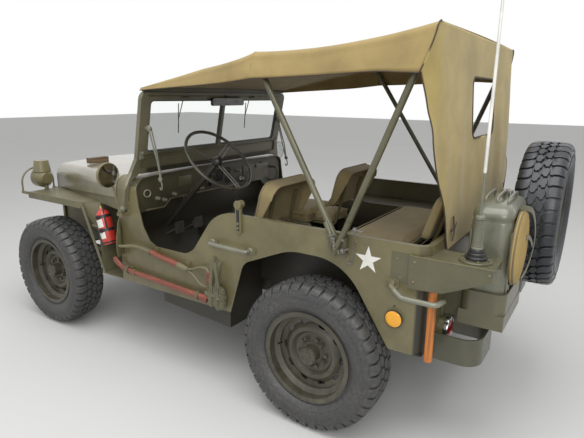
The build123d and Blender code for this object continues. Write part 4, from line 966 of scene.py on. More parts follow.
@dataclass
class RoadTyre:
    """Off-road tyre with wrapped shoulder blocks, centre blocks and a ribbed ring."""

    pitches: int = 40
    tread_radius: float = 0.358
    groove_radius: float = 0.3465
    carcass: Pairs = (
        (0.0, 0.3465), (0.035, 0.3462), (0.062, 0.3445), (0.08, 0.34), (0.0905, 0.332), (0.0965, 0.322),
        (0.099, 0.31), (0.0998, 0.3055), (0.1005, 0.299), (0.1012, 0.288), (0.1018, 0.278), (0.1005, 0.266),
        (0.0975, 0.259), (0.0985, 0.256), (0.0945, 0.248), (0.087, 0.2385), (0.08, 0.232), (0.075, 0.23),
        (0.073, 0.227), (0.0728, 0.2045),
    )
    # X of the top, radius of the top, x and radius of the foot, near and far edge in pitches
    shoulder_rows: tuple[tuple[float, float, float, float, float, float], ...] = (
        (0.037, 0.3578, 0.037, 0.3455, -0.06, 0.44), (0.045, 0.3577, 0.045, 0.345, -0.3, 0.5),
        (0.058, 0.357, 0.058, 0.344, -0.42, 0.4), (0.074, 0.3548, 0.074, 0.341, -0.44, 0.38),
        (0.086, 0.35, 0.084, 0.337, -0.42, 0.38), (0.094, 0.3415, 0.09, 0.331, -0.4, 0.36),
        (0.099, 0.33, 0.095, 0.324, -0.38, 0.34), (0.1012, 0.318, 0.0965, 0.317, -0.34, 0.3),
    )
    centre_outline: Pairs = (
        (0.033, -0.3), (0.024, -0.46), (0.011, -0.34), (0.007, -0.1), (0.0012, -0.06), (0.0012, 0.22),
        (0.01, 0.28), (0.013, 0.44), (0.027, 0.4), (0.03, 0.16), (0.034, 0.02),
    )
    rib_span: Pair = (0.2895, 0.3035)
    ribs: int = 4
    chamfer: float = 0.0012
    wall: float = 0.09

    def mesh_shape(self) -> Shape:
        """Build the tyre about the X axis, outer side towards +X.

        Returns:
            The unfinished shape.
        """
        shape = Shape()
        half = smooth_rows(self.carcass, 2)
        profile = [(-x, radius) for x, radius in half[::-1]] + half[1:]
        shape.lathe(profile, Vector(), LEFT, sides=120, closed=True)
        pitch = 2 * math.pi / self.pitches
        for index in range(self.pitches):
            for side in SIDES:
                turn = pitch * (index + (0.5 if side < 0 else 0.0))
                self.add_shoulder(shape, side, turn, pitch, index % 2)
                self.add_centre(shape, side, turn + pitch * 0.25, pitch)
                for rib in range(self.ribs):
                    self.add_rib(shape, side, turn + pitch * rib / self.ribs, pitch / self.ribs)
        return shape

    def point(self, x: float, radius: float, turn: float) -> Vector:
        """Return a point at an angle round the axis."""
        return Vector((x, radius * math.cos(turn), radius * math.sin(turn)))

    def add_shoulder(self, shape: Shape, side: int, turn: float, pitch: float, short: int) -> None:
        """Add one shoulder block, which wraps on to the sidewall.

        Args:
            shape: Shape that takes the block.
            side: -1 or 1, the end of the axis.
            turn: Angle of the block's middle.
            pitch: Angle between two blocks.
            short: 1 for a block that ends higher on the sidewall.
        """
        rings = []
        rows = self.shoulder_rows[: len(self.shoulder_rows) - short]
        chamfer = self.chamfer
        for order, (x, radius, foot_x, foot_radius, near, far) in enumerate(rows):
            low = chamfer if order in (0, len(rows) - 1) else 0.0
            on_wall = x > self.wall
            near_turn, far_turn = turn + side * near * pitch, turn + side * far * pitch
            inner = side * 0.04 * pitch
            inward = (x - low * (0.9 if on_wall else 0.0), radius - low * (0.2 if on_wall else 1.0))
            edge = (x - chamfer * (0.8 if on_wall else 0.1), radius - chamfer * (0.3 if on_wall else 1.0))
            rings.append([
                self.point(side * foot_x, foot_radius, near_turn - inner * 0.3),
                self.point(side * edge[0], edge[1], near_turn),
                self.point(side * inward[0], inward[1], near_turn + inner),
                self.point(side * inward[0], inward[1], far_turn - inner),
                self.point(side * edge[0], edge[1], far_turn),
                self.point(side * foot_x, foot_radius, far_turn + inner * 0.3),
            ])
        shape.loft(rings)

    def add_centre(self, shape: Shape, side: int, turn: float, pitch: float) -> None:
        """Add one of the interlocking centre blocks."""
        middle_x = sum(x for x, _ in self.centre_outline) / len(self.centre_outline)
        rings = []
        for radius, scale in (
            (self.groove_radius - 0.001, 1.04), (self.tread_radius - self.chamfer, 1.0),
            (self.tread_radius, 0.93),
        ):
            rings.append(
                [
                    self.point(
                        side * (middle_x + (x - middle_x) * scale), radius,
                        turn + side * part * pitch * scale,
                    )
                    for x, part in self.centre_outline
                ]
            )
        shape.loft(rings)

    def add_rib(self, shape: Shape, side: int, turn: float, pitch: float) -> None:
        """Add one fine radial rib on the sidewall."""
        low, high = self.rib_span
        width = pitch * 0.3
        rings = []
        for x, draw in ((0.0995, 1.0), (0.1022, 0.6)):
            rings.append([
                self.point(side * x, low + 0.001, turn - width * draw),
                self.point(side * x, low + 0.001, turn + width * draw),
                self.point(side * (x - 0.0005), high - 0.001, turn + width * draw),
                self.point(side * (x - 0.0005), high - 0.001, turn - width * draw),
            ])
        shape.loft(rings)

    def build(self) -> None:
        """Build the tyre once and set it on the five wheels."""
        first = self.mesh_shape().piece("road_tyre_front_left", RUBBER, "wheel_front_left", sharp=25.0)
        for order, wheel in enumerate(WHEELS):
            name = wheel.name
            tyre = bpy.data.objects.new(f"road_tyre_{name}", first.data) if order else first
            roll = Matrix.Rotation(math.pi / 2 * order, 4, "X")
            turned = Matrix.Rotation(wheel.swing, 4, "Z") @ roll
            tyre.matrix_world = Matrix.Translation(place(*wheel.centre)) @ turned
            if wheel.spare:
                tyre.data = first.data.copy()
                tyre.data.materials[0] = SPARE_RUBBER.material()
            if tyre is not first:
                bpy.context.scene.collection.objects.link(tyre)
                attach(tyre, "chassis" if name == "spare" else f"wheel_{name}")
            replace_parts(tyre, "spare_tyre" if name == "spare" else f"tyre_{name}")


@dataclass
class CanvasRoof:
    """Stretched canvas roof that sags between its bows, with its piping."""

    # Station, shoulder half width and height, hem half width and height
    rows: tuple[tuple[float, float, float, float, float], ...] = (
        (895, 676, 1560, 682, 1545), (933, 678, 1566, 685, 1547), (1173, 684, 1613, 694, 1560),
        (1329, 687, 1645, 700, 1568), (1474, 689, 1668, 706, 1577), (1590, 690, 1692, 711, 1588),
        (1664, 690, 1713, 715, 1596), (1682, 690, 1715, 715, 1597), (1817, 691, 1714, 717, 1600),
        (1968, 693, 1719, 720, 1605), (2108, 695, 1729, 725, 1610), (2279, 698, 1749, 735, 1617),
        (2397, 700, 1768, 742, 1613), (2508, 702, 1790, 746, 1609),
    )
    thickness: float = 0.0025
    across_steps: int = 14
    crown: float = 6.0
    slant: float = 44.0
    slant_run: float = 260.0
    ripples: Pairs = ((0.0025, 0.9), (0.0015, 2.3))
    # Points of a section from its hem that ripple, and those that carry the rear piping
    loose_points: int = 5
    piped_points: int = 14
    # Half width, steps, stations, foot and top of the rail over the windshield
    rail_half: float = 670.0
    rail_steps: int = 12
    rail_stations: Pair = (894.0, 908.0)
    rail_low: float = 1538.0
    rail_top: float = 1556.5

    def section(self, row: Sequence[float]) -> list[Vector]:
        """Return the points of one cross section, from hem to hem.

        Args:
            row: Station, shoulder and hem of the section.

        Returns:
            Points from the right hem to the left hem.
        """
        station, shoulder_x, shoulder_z, hem_x, hem_z = row
        drop = shoulder_z - hem_z
        turn = min(34.0, 0.5 * drop)
        slide = (hem_x - shoulder_x) / max(drop, 1.0)
        half = []
        for step in range(8):
            share = step / 7
            z = hem_z + share * (drop - turn)
            belly = 3.0 * math.sin(math.pi * share) * min(1.0, drop / 120)
            half.append((hem_x - slide * (z - hem_z) + belly, z))
        start = half[-1]
        for step in range(1, 7):
            angle = math.radians(15 * step)
            half.append((start[0] - turn * (1 - math.cos(angle)), start[1] + turn * math.sin(angle)))
        inner = half[-1][0]
        for step in range(1, self.across_steps + 1):
            share = step / self.across_steps
            half.append((inner * (1 - share), shoulder_z + self.crown * math.sin(share * math.pi / 2)))
        points = [(-x, z) for x, z in half] + half[-2::-1]
        return [place(x, station, z) for x, z in points]

    def build(self) -> None:
        """Build the roof sheet, its hem binding and the rear piping."""
        shape = Shape()
        sections = []
        for order, row in enumerate(smooth_rows(self.rows, 6)):
            points = self.section(row)
            wave = sum(reach * math.sin(order * rate) for reach, rate in self.ripples)
            drawn = max(0.0, 1 - (self.rows[-1][0] - row[0]) / self.slant_run) ** 1.5
            for index, spot in enumerate(points):
                edge = max(0.0, 1 - min(index, len(points) - 1 - index) / self.loose_points)
                spot.x += math.copysign(wave * edge, spot.x)
                fall = max(0.02, (row[2] - row[4]) / 1000)
                below = max(0.0, min(1.0, (row[2] / 1000 - spot.z) / fall))
                spot.y -= self.slant / 1000 * drawn * below**1.6
            sections.append(points)
        shape.grid(sections)
        roof = shape.piece("canvas_roof", ROOF_CANVAS, sharp=60.0)
        solid = roof.modifiers.new("thickness", "SOLIDIFY")
        solid.thickness = self.thickness
        solid.offset = -1.0
        bake_modifiers(roof)
        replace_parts(roof, "canvas_top")
        binding = Shape()
        for side in (0, -1):
            binding.tube([points[side] for points in sections], 0.0024, 8)
        rear = [spot + Vector((math.copysign(0.0015, spot.x), 0.0005, 0.001)) for spot in sections[-1]]
        self.build_rail()
        for part in (rear[: self.piped_points], rear[-self.piped_points :]):
            binding.tube(part, 0.003, 8)
        binding.piece("roof_piping", BINDING)

    def build_rail(self) -> None:
        """Build the rail that closes the gap between the windshield and the roof."""
        rings = []
        front, rear = self.rail_stations
        for step in range(-self.rail_steps, self.rail_steps + 1):
            x = self.rail_half * step / self.rail_steps
            share = 1 - abs(step) / self.rail_steps
            top = self.rail_top + self.crown * math.sin(share * math.pi / 2)
            corners = ((front, self.rail_low), (rear, self.rail_low), (rear, top + 1.5), (front, top))
            rings.append([place(x, s, z) for s, z in corners])
        header = Shape()
        header.loft(rings)
        header.piece("roof_header", DEEP_OLIVE)


@dataclass
class RearCurtain:
    """Canvas curtain that hangs from the rear bow, with its window and binding."""

    # Height, half width, station of the outer face
    rows: tuple[tuple[float, float, float], ...] = (
        (1790, 690, 2509.5), (1740, 712, 2512), (1680, 738, 2515), (1632, 747, 2517), (1540, 741, 2524),
        (1440, 742, 2530), (1337, 742, 2536), (1230, 690, 2542), (1132, 634, 2548), (1020, 583, 2554),
        (925, 543, 2558), (903, 536, 2559.5),
    )
    window_half: float = 210.0
    window_low: float = 1345.0
    window_high: float = 1610.0
    window_corner: float = 45.0
    thickness: float = 0.0025
    columns: int = 56
    # Height, how far the edge comes forward round the bow
    wraps: Pairs = (
        (1300, 0), (1400, 5), (1430, 12), (1472, 25), (1520, 33), (1570, 43), (1611, 50), (1632, 44),
        (1650, 36), (1701, 18), (1740, 9), (1790, 3),
    )
    corner: float = 100.0
    wrap_steps: int = 9
    right_pull: float = 42.0

    def wrap(self, z: float) -> float:
        """Return how far the edge comes forward at a height."""
        for (low_z, low), (high_z, high) in zip(self.wraps, self.wraps[1:]):
            if low_z <= z <= high_z:
                return low + (high - low) * (z - low_z) / (high_z - low_z)
        return 0.0

    def window_outline(self, grow: float) -> list[Pair]:
        """Return the window's rounded outline, grown by a margin."""
        half = self.window_half + grow
        span = (self.window_low - grow, self.window_high + grow)
        return rounded_box((-half, half), span, self.window_corner + grow)

    def station(self, z: float) -> float:
        """Return the outer face's station at a height."""
        rows = sorted(self.rows)
        for (low_z, _, low), (high_z, _, high) in zip(rows, rows[1:]):
            if z <= high_z:
                return low + (high - low) * max(0.0, (z - low_z)) / (high_z - low_z)
        return rows[-1][2]

    def fold(self, x: float, z: float) -> float:
        """Return how far the cloth stands out of its plane, in millimetres."""
        free = max(0.0, min(1.0, (1700 - z) / 400)) * max(0.0, min(1.0, (z - 960) / 150))
        wave = 4.0 * math.sin(x / 74 + z / 900) + 2.5 * math.sin(x / 31 + 1.3)
        return 5.0 * free + free * wave

    def edge_points(self, side: int, inner: float, station: float, z: float) -> list[Vector]:
        """Return the points of one side, which wraps forward round the bow.

        Args:
            side: -1 for the right side, 1 for the left side.
            inner: Half width at which the wrap starts.
            station: Station of the outer face.
            z: Height of the row.

        Returns:
            Points from the inner one to the outer one.
        """
        pull = self.wrap(z)
        if side < 0:
            held = min(1.0, (z - 1150) / 160, (1640 - z) / 30)
            pull = max(pull, self.right_pull * max(0.0, held))
        edge = []
        for step in range(1, self.wrap_steps + 1):
            share = step / self.wrap_steps
            x = side * (inner + self.corner * share)
            edge.append(place(x, station + self.fold(x, z) - pull * share**1.8, z))
        return edge

    def build(self) -> None:
        """Build the curtain sheet, the binding and the tie straps."""
        shape = Shape()
        grid = []
        for z, half, station in smooth_rows(self.rows, 4):
            inner = half - self.corner
            row = []
            for index in range(self.columns + 1):
                x = -inner + 2 * inner * index / self.columns
                row.append(place(x, station + self.fold(x, z), z))
            right, left = (self.edge_points(side, inner, station, z) for side in SIDES)
            grid.append(right[::-1] + row + left)
        shape.grid(grid)
        curtain = shape.piece("rear_canvas", CANVAS, sharp=60.0)
        solid = curtain.modifiers.new("thickness", "SOLIDIFY")
        solid.thickness = self.thickness
        solid.offset = -1.0
        cutter_shape = Shape()
        cutter_shape.slab([place(x, 2400, z) for x, z in self.window_outline(0.0)], Vector((0, 0.3, 0)))
        cutter = cutter_shape.piece("window_cutter", CANVAS)
        cut = curtain.modifiers.new("window", "BOOLEAN")
        cut.object = cutter
        cut.operation = "DIFFERENCE"
        cut.solver = "EXACT"
        bake_modifiers(curtain)
        bpy.data.objects.remove(cutter)
        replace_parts(curtain, "rear_curtain")
        binding = Shape()
        for side in (0, -1):
            binding.tube([row[side] for row in grid if row[side].z < 1.625], 0.003, 8)
        binding.tube(grid[-1], 0.003, 8)
        frame_line = [
            place(x, self.station(z) + self.fold(x, z) - 1.0, z) for x, z in self.window_outline(2.0)
        ]
        binding.tube(frame_line, 0.005, 8, closed=True)
        binding.piece("curtain_binding", BINDING)
        ties = Shape()
        for side in SIDES:
            ties.strap(
                [(side * 507, 2566, 1046), (side * 500, 2570, 1004), (side * 494, 2571, 962)], 0.016, REAR
            )
            ties.strap(
                [(side * 470, 2571, 1012), (side * 500, 2574, 998), (side * 548, 2571, 990)], 0.012, REAR
            )
            ties.strap(
                [(side * 498, 2574, 1000), (side * 516, 2575, 972), (side * 524, 2574, 944)], 0.012, REAR
            )
        ties.piece("curtain_ties", BINDING)


def curve(points: Sequence[Sequence[float]], steps: int = 6) -> list[Vector]:
    """Return a smooth line through places given in millimetres."""
    return [place(*row) for row in smooth_rows(points, steps)]


@dataclass
class BodyMarks:
    """White stars, amber side reflectors and the lenses of all lamps."""

    star_place: Point = (724.0, 2290.0, 862.0)
    star_radius: float = 61.0
    star_waist: float = 0.382
    reflector_place: Point = (738.0, 2421.0, 635.0)
    tail_place: Point = (505.0, 2593.0, 545.0)
    head_place: Point = (330.0, -296.0, 838.0)
    marker_place: Point = (330.0, -312.0, 690.0)
    fender_place: Point = (600.0, -320.0, 945.0)

    def build_stars(self) -> None:
        """Paint a five-pointed star on each side of the body."""
        shape = Shape()
        x, station, z = self.star_place
        for side in SIDES:
            outline = []
            for step in range(10):
                radius = self.star_radius * (1.0 if step % 2 == 0 else self.star_waist)
                turn = math.radians(36 * step)
                along, rise = radius * math.sin(turn), radius * math.cos(turn)
                outline.append(place(side * (x - 0.4), station + along, z + rise))
            shape.slab(outline, Vector((side * 0.0009, 0, 0)))
        shape.piece("body_stars", WHITE_PAINT)

    def build_reflectors(self) -> None:
        """Set a domed amber lens in a thin ring on each side."""
        lenses, rings = Shape(), Shape()
        x, station, z = self.reflector_place
        for side in SIDES:
            centre, out = place(side * x, station, z), Vector((side, 0, 0))
            lenses.lathe(
                [
                    (-0.002, 0.0355), (0.002, 0.035), (0.005, 0.03), (0.0068, 0.02), (0.0075, 0.008),
                    (0.0077, 0.0),
                ],
                centre, out, 40,
            )
            rings.lathe(
                [(-0.006, 0.0385), (0.0005, 0.039), (0.0022, 0.0376), (0.0022, 0.0352), (-0.006, 0.0352)],
                centre, out, 40, closed=True,
            )
            rings.screw(place(side * 724.0, station - 4, z + 52), out, 0.0042)
        lenses.piece("amber_lenses", AMBER_LENS)
        rings.piece("reflector_rings", BLACK_PLASTIC)

    def build_tail_lamps(self) -> None:
        """Close both tail lamps with a red lens and a bright ring."""
        lenses, rings, shells = Shape(), Shape(), Shape()
        x, station, z = self.tail_place
        for side in SIDES:
            centre = place(side * x, station, z)
            lenses.lathe(
                [(-0.006, 0.044), (0.001, 0.0435), (0.006, 0.037), (0.0095, 0.023), (0.011, 0.0)], centre,
                REAR, 40,
            )
            rings.lathe(
                [
                    (-0.016, 0.052), (-0.004, 0.054), (0.001, 0.0525), (0.0035, 0.048), (0.0015, 0.044),
                    (-0.008, 0.0435),
                ],
                centre, REAR, 40, closed=True,
            )
            for turn in (40, 160, 280):
                angle = math.radians(turn)
                spoke = Vector((math.cos(angle), 0, math.sin(angle)))
                rings.screw(centre + 0.049 * spoke + Vector((0, 0.002, 0)), REAR, 0.0026)
            shells.box(place(side * (x - 16), 2553, z + 86), (0.046, 0.01, 0.06), 0.003)
            shells.bolt(place(side * (x - 16), 2558, z + 104), REAR, 0.006)
            shells.bolt(place(side * (x - 16), 2558, z + 70), REAR, 0.006)
        lenses.piece("tail_lenses", RED_LENS)
        rings.piece("tail_rings", CHROME)
        shells.piece("tail_plates", OLIVE)

    def build_front_lamps(self) -> None:
        """Close the head lamps, the markers and the fender lamp with glass."""
        glass, rings = Shape(), Shape()
        x, station, z = self.head_place
        for side in SIDES:
            glass.lathe(
                [(-0.004, 0.08), (0.002, 0.079), (0.009, 0.06), (0.013, 0.032), (0.0145, 0.0)],
                place(side * x, station, z), FRONT, 48,
            )
            rings.lathe(
                [(-0.008, 0.088), (0.004, 0.088), (0.007, 0.085), (0.006, 0.08), (-0.004, 0.0795)],
                place(side * x, station, z), FRONT, 48, closed=True,
            )
            marker_x, *marker_rest = self.marker_place
            marker = place(side * marker_x, *marker_rest)
            glass.lathe([(-0.002, 0.022), (0.003, 0.021), (0.007, 0.013), (0.0085, 0.0)], marker, FRONT, 24)
            rings.lathe(
                [(-0.004, 0.0268), (0.003, 0.0268), (0.004, 0.0245), (0.003, 0.0225), (-0.003, 0.0222)],
                marker, FRONT, 24, closed=True,
            )
        lamp = place(*self.fender_place)
        glass.lathe([(-0.003, 0.056), (0.002, 0.055), (0.006, 0.04), (0.0085, 0.0)], lamp, FRONT, 40)
        rings.lathe(
            [(-0.006, 0.0655), (0.003, 0.0655), (0.005, 0.062), (0.004, 0.057), (-0.004, 0.0565)], lamp,
            FRONT, 40, closed=True,
        )
        glass.piece("lamp_glass", LAMP_GLASS)
        rings.piece("lamp_rings", OLIVE)

    def build(self) -> None:
        """Build every mark and lens."""
        self.build_stars()
        self.build_reflectors()
        self.build_tail_lamps()
        self.build_front_lamps()


@dataclass
class FuelCan:
    """Pressed steel can with sunk ribs, seam, three handles and a spout."""

    centre: Pair = (370.0, 2720.5)
    half: Pair = (170.0, 79.5)
    low: float = 694.0
    top: float = 1116.0

    def section(self, z: float, grow: float, lean: float) -> list[Vector]:
        """Return a rounded outline of the can at a height.

        Args:
            z: Height of the outline.
            grow: Change of both half widths.
            lean: Shift of the side away from the spout, for the sloping shoulder.

        Returns:
            Points round the can.
        """
        half_x, half_y = self.half[0] + grow, self.half[1] + grow
        corner = min(46.0 + min(grow, 0) * 0.4, half_y - 2)
        points = []
        for x, y in rounded_box((-half_x, half_x), (-half_y, half_y), corner, 8):
            shift = (lean if x > 0 else 0.0) * x / half_x
            points.append(place(self.centre[0] + x - shift, self.centre[1] + y, z))
        return points

    def build(self) -> None:
        """Build the can's body, its ribs and its fittings."""
        shape = Shape()
        # Height, growth, shoulder slope
        rows = (
            (self.low, -16, 0), (self.low + 3, -7, 0), (self.low + 12, -1, 0), (self.low + 24, 0, 0),
            (1040, 0, 0), (1047, -2.4, 0), (1054, -3.4, 0), (1061, -2.0, 0), (1070, -0.6, 1),
            (1082, -1.6, 4), (1094, -4.5, 10), (1103, -10, 18), (1110, -19, 26), (1115, -31, 34),
            (self.top, -46, 40),
        )
        shape.loft([self.section(z, grow, lean) for z, grow, lean in rows])
        for side in SIDES:
            face_station = self.centre[1] + side * self.half[1]
            self.add_panel(shape, face_station, side)
        # Weld seam down the far narrow face, and a filled one on the near face
        shape.box(
            place(self.centre[0] - self.half[0] + 0.5, self.centre[1], 880), (0.0045, 0.0075, 0.33), 0.002
        )
        shape.box(
            place(self.centre[0] + self.half[0] - 0.4, self.centre[1], 870), (0.0022, 0.0045, 0.3), 0.001
        )
        can = shape.piece("fuel_can_body", CAN_PAINT, sharp=50.0)
        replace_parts(can, "fuel_can")
        self.build_fittings()

    def build_fittings(self) -> None:
        """Build the three handles, and the spout with its lid and lever."""
        fittings = Shape()
        foot = self.top - 10
        arch = ((286, foot), (284, 1126), (300, 1137), (370, 1138), (440, 1134), (458, 1124), (460, foot))
        for offset in (-44, 0, 44):
            station = self.centre[1] + offset
            fittings.tube(curve([(x, station, z) for x, z in arch], 4), 0.0062, 10)
        fittings.lathe(
            [(-0.03, 0.019), (0.004, 0.019), (0.006, 0.024), (0.022, 0.024), (0.026, 0.02), (0.027, 0.0)],
            place(252, self.centre[1], self.top - 4), UP, 24,
        )
        fittings.box(place(252, self.centre[1], 1139), (0.046, 0.014, 0.004), 0.0015)
        fittings.tube(
            straight(
                (274, self.centre[1] + 14, 1134), (286, self.centre[1] + 17, 1122),
                (290, self.centre[1] + 18, 1106),
            ),
            0.003, 8,
        )
        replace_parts(fittings.piece("fuel_can_fittings", CAN_PAINT), "fuel_can")

    def add_panel(self, shape: Shape, station: float, side: int) -> None:
        """Press a rim and a cross of ribs on one broad face.

        Args:
            shape: Shape that takes the ribs.
            station: Station of the face.
            side: -1 for the front face, 1 for the rear face.
        """
        x, z = self.centre[0], 880
        sunk = station - side * 2.2
        for rise in (118, -118):
            path = straight(
                (x - 105, sunk, z - rise), (x, station - side * 1.2, z), (x + 105, sunk, z + rise)
            )
            shape.tube(path, 0.0058, 8)
        outline = [
            (-128, -138), (-140, -120), (-140, 120), (-128, 138), (128, 138), (140, 120), (140, -120),
            (128, -138),
        ]
        shape.tube(
            [place(x + px, station - side * 2.6, z + pz) for px, pz in outline], 0.0055, 8, closed=True
        )


@dataclass
class CanvasBucket:
    """Folded canvas bucket behind the can, with its bound rim and straps."""

    centre: Point = (400.0, 2802.0, 928.0)
    radii: Pair = (152.0, 157.0)
    steps: int = 72

    def ring(self, scale: float, station: float, pucker: float = 0.0) -> list[Vector]:
        """Return one ring of points round the bucket."""
        points = []
        x, depth, z = self.centre
        for turn in full_turn(self.steps):
            ripple = 1 + pucker * (math.sin(turn * 13) + 0.6 * math.sin(turn * 7 + 1.0))
            reach_x, reach_z = (radius * scale * ripple for radius in self.radii)
            points.append(
                place(x + reach_x * math.cos(turn), depth + station, z + reach_z * math.sin(turn))
            )
        return points

    def build(self) -> None:
        """Build the folded bag, its bound rim and its straps."""
        shape = Shape()
        # Scale, station, pucker
        profile = (
            (0.02, 1, 0), (0.6, 0.5, 0), (0.93, 0.5, 0.002), (0.985, 3, 0.003), (1.0, 8, 0.004),
            (0.995, 14, 0.004), (0.965, 20, 0.003), (0.9, 25, 0.002), (0.8, 28.0, 0.003),
            (0.66, 30.0, 0.004), (0.5, 31.0, 0.006), (0.3, 31.6, 0.004), (0.12, 31.9, 0.0), (0.02, 31.9, 0),
        )
        shape.loft([self.ring(*row) for row in profile])
        bag = shape.piece("canvas_bucket_bag", TAN_CANVAS, sharp=60.0, subdivide=1)
        bake_modifiers(bag)
        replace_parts(bag, "canvas_bucket")
        rim = Shape()
        rim.tube(self.ring(0.99, 17.0, 0.003), 0.0034, 8, closed=True)
        rim.tube(self.ring(1.002, 5.0, 0.003), 0.0028, 8, closed=True)
        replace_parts(rim.piece("canvas_bucket_rim", WEBBING), "canvas_bucket")
        straps = Shape()
        band = [
            (430, 2806, 1100), (392, 2824, 1092), (330, 2838, 1070), (270, 2846, 1010), (246, 2850, 935),
            (258, 2846, 862), (300, 2838, 806), (352, 2828, 778),
        ]
        straps.strap(band, 0.022, REAR)
        straps.strap([(390, 2835, 968), (344, 2838, 962), (300, 2842, 940), (262, 2846, 905)], 0.018, REAR)
        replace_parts(straps.piece("canvas_bucket_straps", OLIVE_WEB), "canvas_bucket")


@dataclass
class AntennaMast:
    """Whip antenna on a bolted flange with a ribbed spring."""

    foot: Point = (662.0, 2705.0, 920.0)

    def build(self) -> None:
        """Build the flange, the insulator, the spring and the two rods."""
        foot = place(*self.foot)
        flange = Shape()
        flange.lathe(
            [(0.0, 0.062), (0.006, 0.062), (0.009, 0.0595), (0.01, 0.045), (0.01, 0.0)], foot, UP, 40
        )
        for step in range(6):
            turn = math.radians(60 * step + 20)
            flange.bolt(foot + Vector((0.051 * math.cos(turn), 0.051 * math.sin(turn), 0.0095)), UP, 0.0055)
        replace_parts(flange.piece("antenna_flange", DEEP_OLIVE), "antenna")
        insulator = Shape()
        insulator.lathe(
            [
                (0.01, 0.041), (0.02, 0.041), (0.023, 0.038), (0.024, 0.034), (0.034, 0.034),
                (0.037, 0.031), (0.038, 0.027), (0.049, 0.027), (0.052, 0.025), (0.054, 0.0),
            ],
            foot, UP, 36,
        )
        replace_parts(insulator.piece("antenna_insulator", BLACK_PLASTIC), "antenna")
        spring = Shape()
        profile = [(0.052, 0.0), (0.052, 0.0225), (0.06, 0.0215)]
        for turn in range(14):
            base = 0.061 + turn * 0.0074
            radius = 0.0198 - 0.00022 * turn
            profile += [
                (base, radius - 0.003), (base + 0.0018, radius), (base + 0.0052, radius),
                (base + 0.007, radius - 0.003),
            ]
        profile += [(0.166, 0.0185), (0.176, 0.018), (0.18, 0.012), (0.182, 0.0)]
        spring.lathe(profile, foot, UP, 28)
        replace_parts(spring.piece("antenna_spring", SPRING_PAINT, sharp=28.0), "antenna")
        rods = Shape()
        rods.tube([foot + UP * z for z in (0.176, 0.24, 0.346)], [0.0072, 0.0052, 0.0046], 12)
        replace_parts(rods.piece("antenna_lower_rod", SPRING_PAINT), "antenna")
        whip = Shape()
        whip.tube(
            [foot + UP * z for z in (0.338, 0.345, 0.7, 1.31, 1.3195)],
            [0.005, 0.0064, 0.0058, 0.0042, 0.002], 12,
        )
        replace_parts(whip.piece("antenna_whip", WHITE_PAINT), "antenna")


@dataclass
class Shovel:
    """Shovel on the left side: dished blade, socket, red shaft and yoke grip."""

    tool_x: float = 752.0
    grip: float = 1385.0

    def build_blade(self) -> None:
        """Build the dished blade that stands across the body's side."""
        shape = Shape()
        # Height, reach out from the body, sag of the dish
        rows = (
            (814, 4, 0.0), (800, 24, 4.0), (776, 38, 8.0), (748, 51, 11.0), (716, 68, 13.0),
            (690, 75, 14.0), (662, 77, 14.0), (634, 75, 12.0), (610, 69, 8.0), (593, 55, 4.0),
        )
        across = Vector((0.84, 0.543, 0))
        out = Vector((0.543, -0.84, 0))
        start = place(724.6, 700.0, 0.0)
        front, back = [], []
        for z, reach, sag in rows:
            line, behind = [], []
            for step in range(9):
                share = step / 8
                bow = sag * math.sin(math.pi * share)
                spot = start + across * (reach * share / 1000) + Vector((0, 0, z / 1000)) + out * (
                    4 - 0.9 * bow
                ) / 1000
                line.append(spot)
                behind.append(spot - out * 0.0022)
            front.append(line)
            back.append(behind[::-1])
        shape.loft([a + b for a, b in zip(front, back)])
        shape.tube([line[-1] for line in front], 0.0022, 6)
        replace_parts(shape.piece("shovel_blade", OLIVE, sharp=50.0), "shovel")

    def build_shaft(self) -> None:
        """Build the socket, the shaft and the grip."""
        socket = Shape()
        socket.tube(
            curve(
                [
                    (779, 736, 666), (781, 762, 668), (776, 800, 673), (762, 850, 679), (754, 910, 674),
                    (752, 985, 664),
                ],
                5,
            ),
            [0.0075] * 3 + [0.009] * 8 + [0.0105] * 8 + [0.0135] * 7, 12,
        )
        x = self.tool_x
        socket.tube(straight((x, 978, 665.5), (x, 984, 664.6)), 0.0185, 16)
        for station in (1000, 1012):
            socket.dome(place(x + 16.6, station, 663 - (station - 990) * 0.16), LEFT, 0.0035, 0.002)
        grip_path = [
            (x, 1262, 620), (x, 1300, 628), (x, self.grip - 28, 650), (x, self.grip + 14, 650),
            (x, self.grip + 30, 636),
        ]
        lower_path = [
            (x, 1262, 614), (x, 1300, 600), (x, self.grip - 40, 562), (x, self.grip + 4, 549),
            (x, self.grip + 28, 562),
        ]
        socket.tube(curve(grip_path, 5), 0.0068, 12)
        socket.tube(curve(lower_path, 5), 0.0068, 12)
        socket.tube(straight((x, 1196, 631), (x, 1230, 624), (x, 1268, 617)), [0.0168, 0.0165, 0.0125], 16)
        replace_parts(socket.piece("shovel_metal", OLIVE), "shovel")
        shaft = Shape()
        shaft.tube(
            straight((x, 984, 664.5), (x, 1060, 652), (x, 1140, 639.5), (x, 1204, 629)),
            [0.015, 0.0162, 0.0165, 0.0158], 18,
        )
        shaft.tube(
            curve(
                [
                    (x, self.grip + 29, 640), (x, self.grip + 30, 618), (x, self.grip + 30, 590),
                    (x, self.grip + 27, 558),
                ],
                4,
            ),
            [0.0095] + [0.0125] * 11 + [0.0095], 14,
        )
        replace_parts(shaft.piece("shovel_wood", AXE_WOOD), "shovel")

    def build(self) -> None:
        """Build the whole shovel."""
        self.build_blade()
        self.build_shaft()


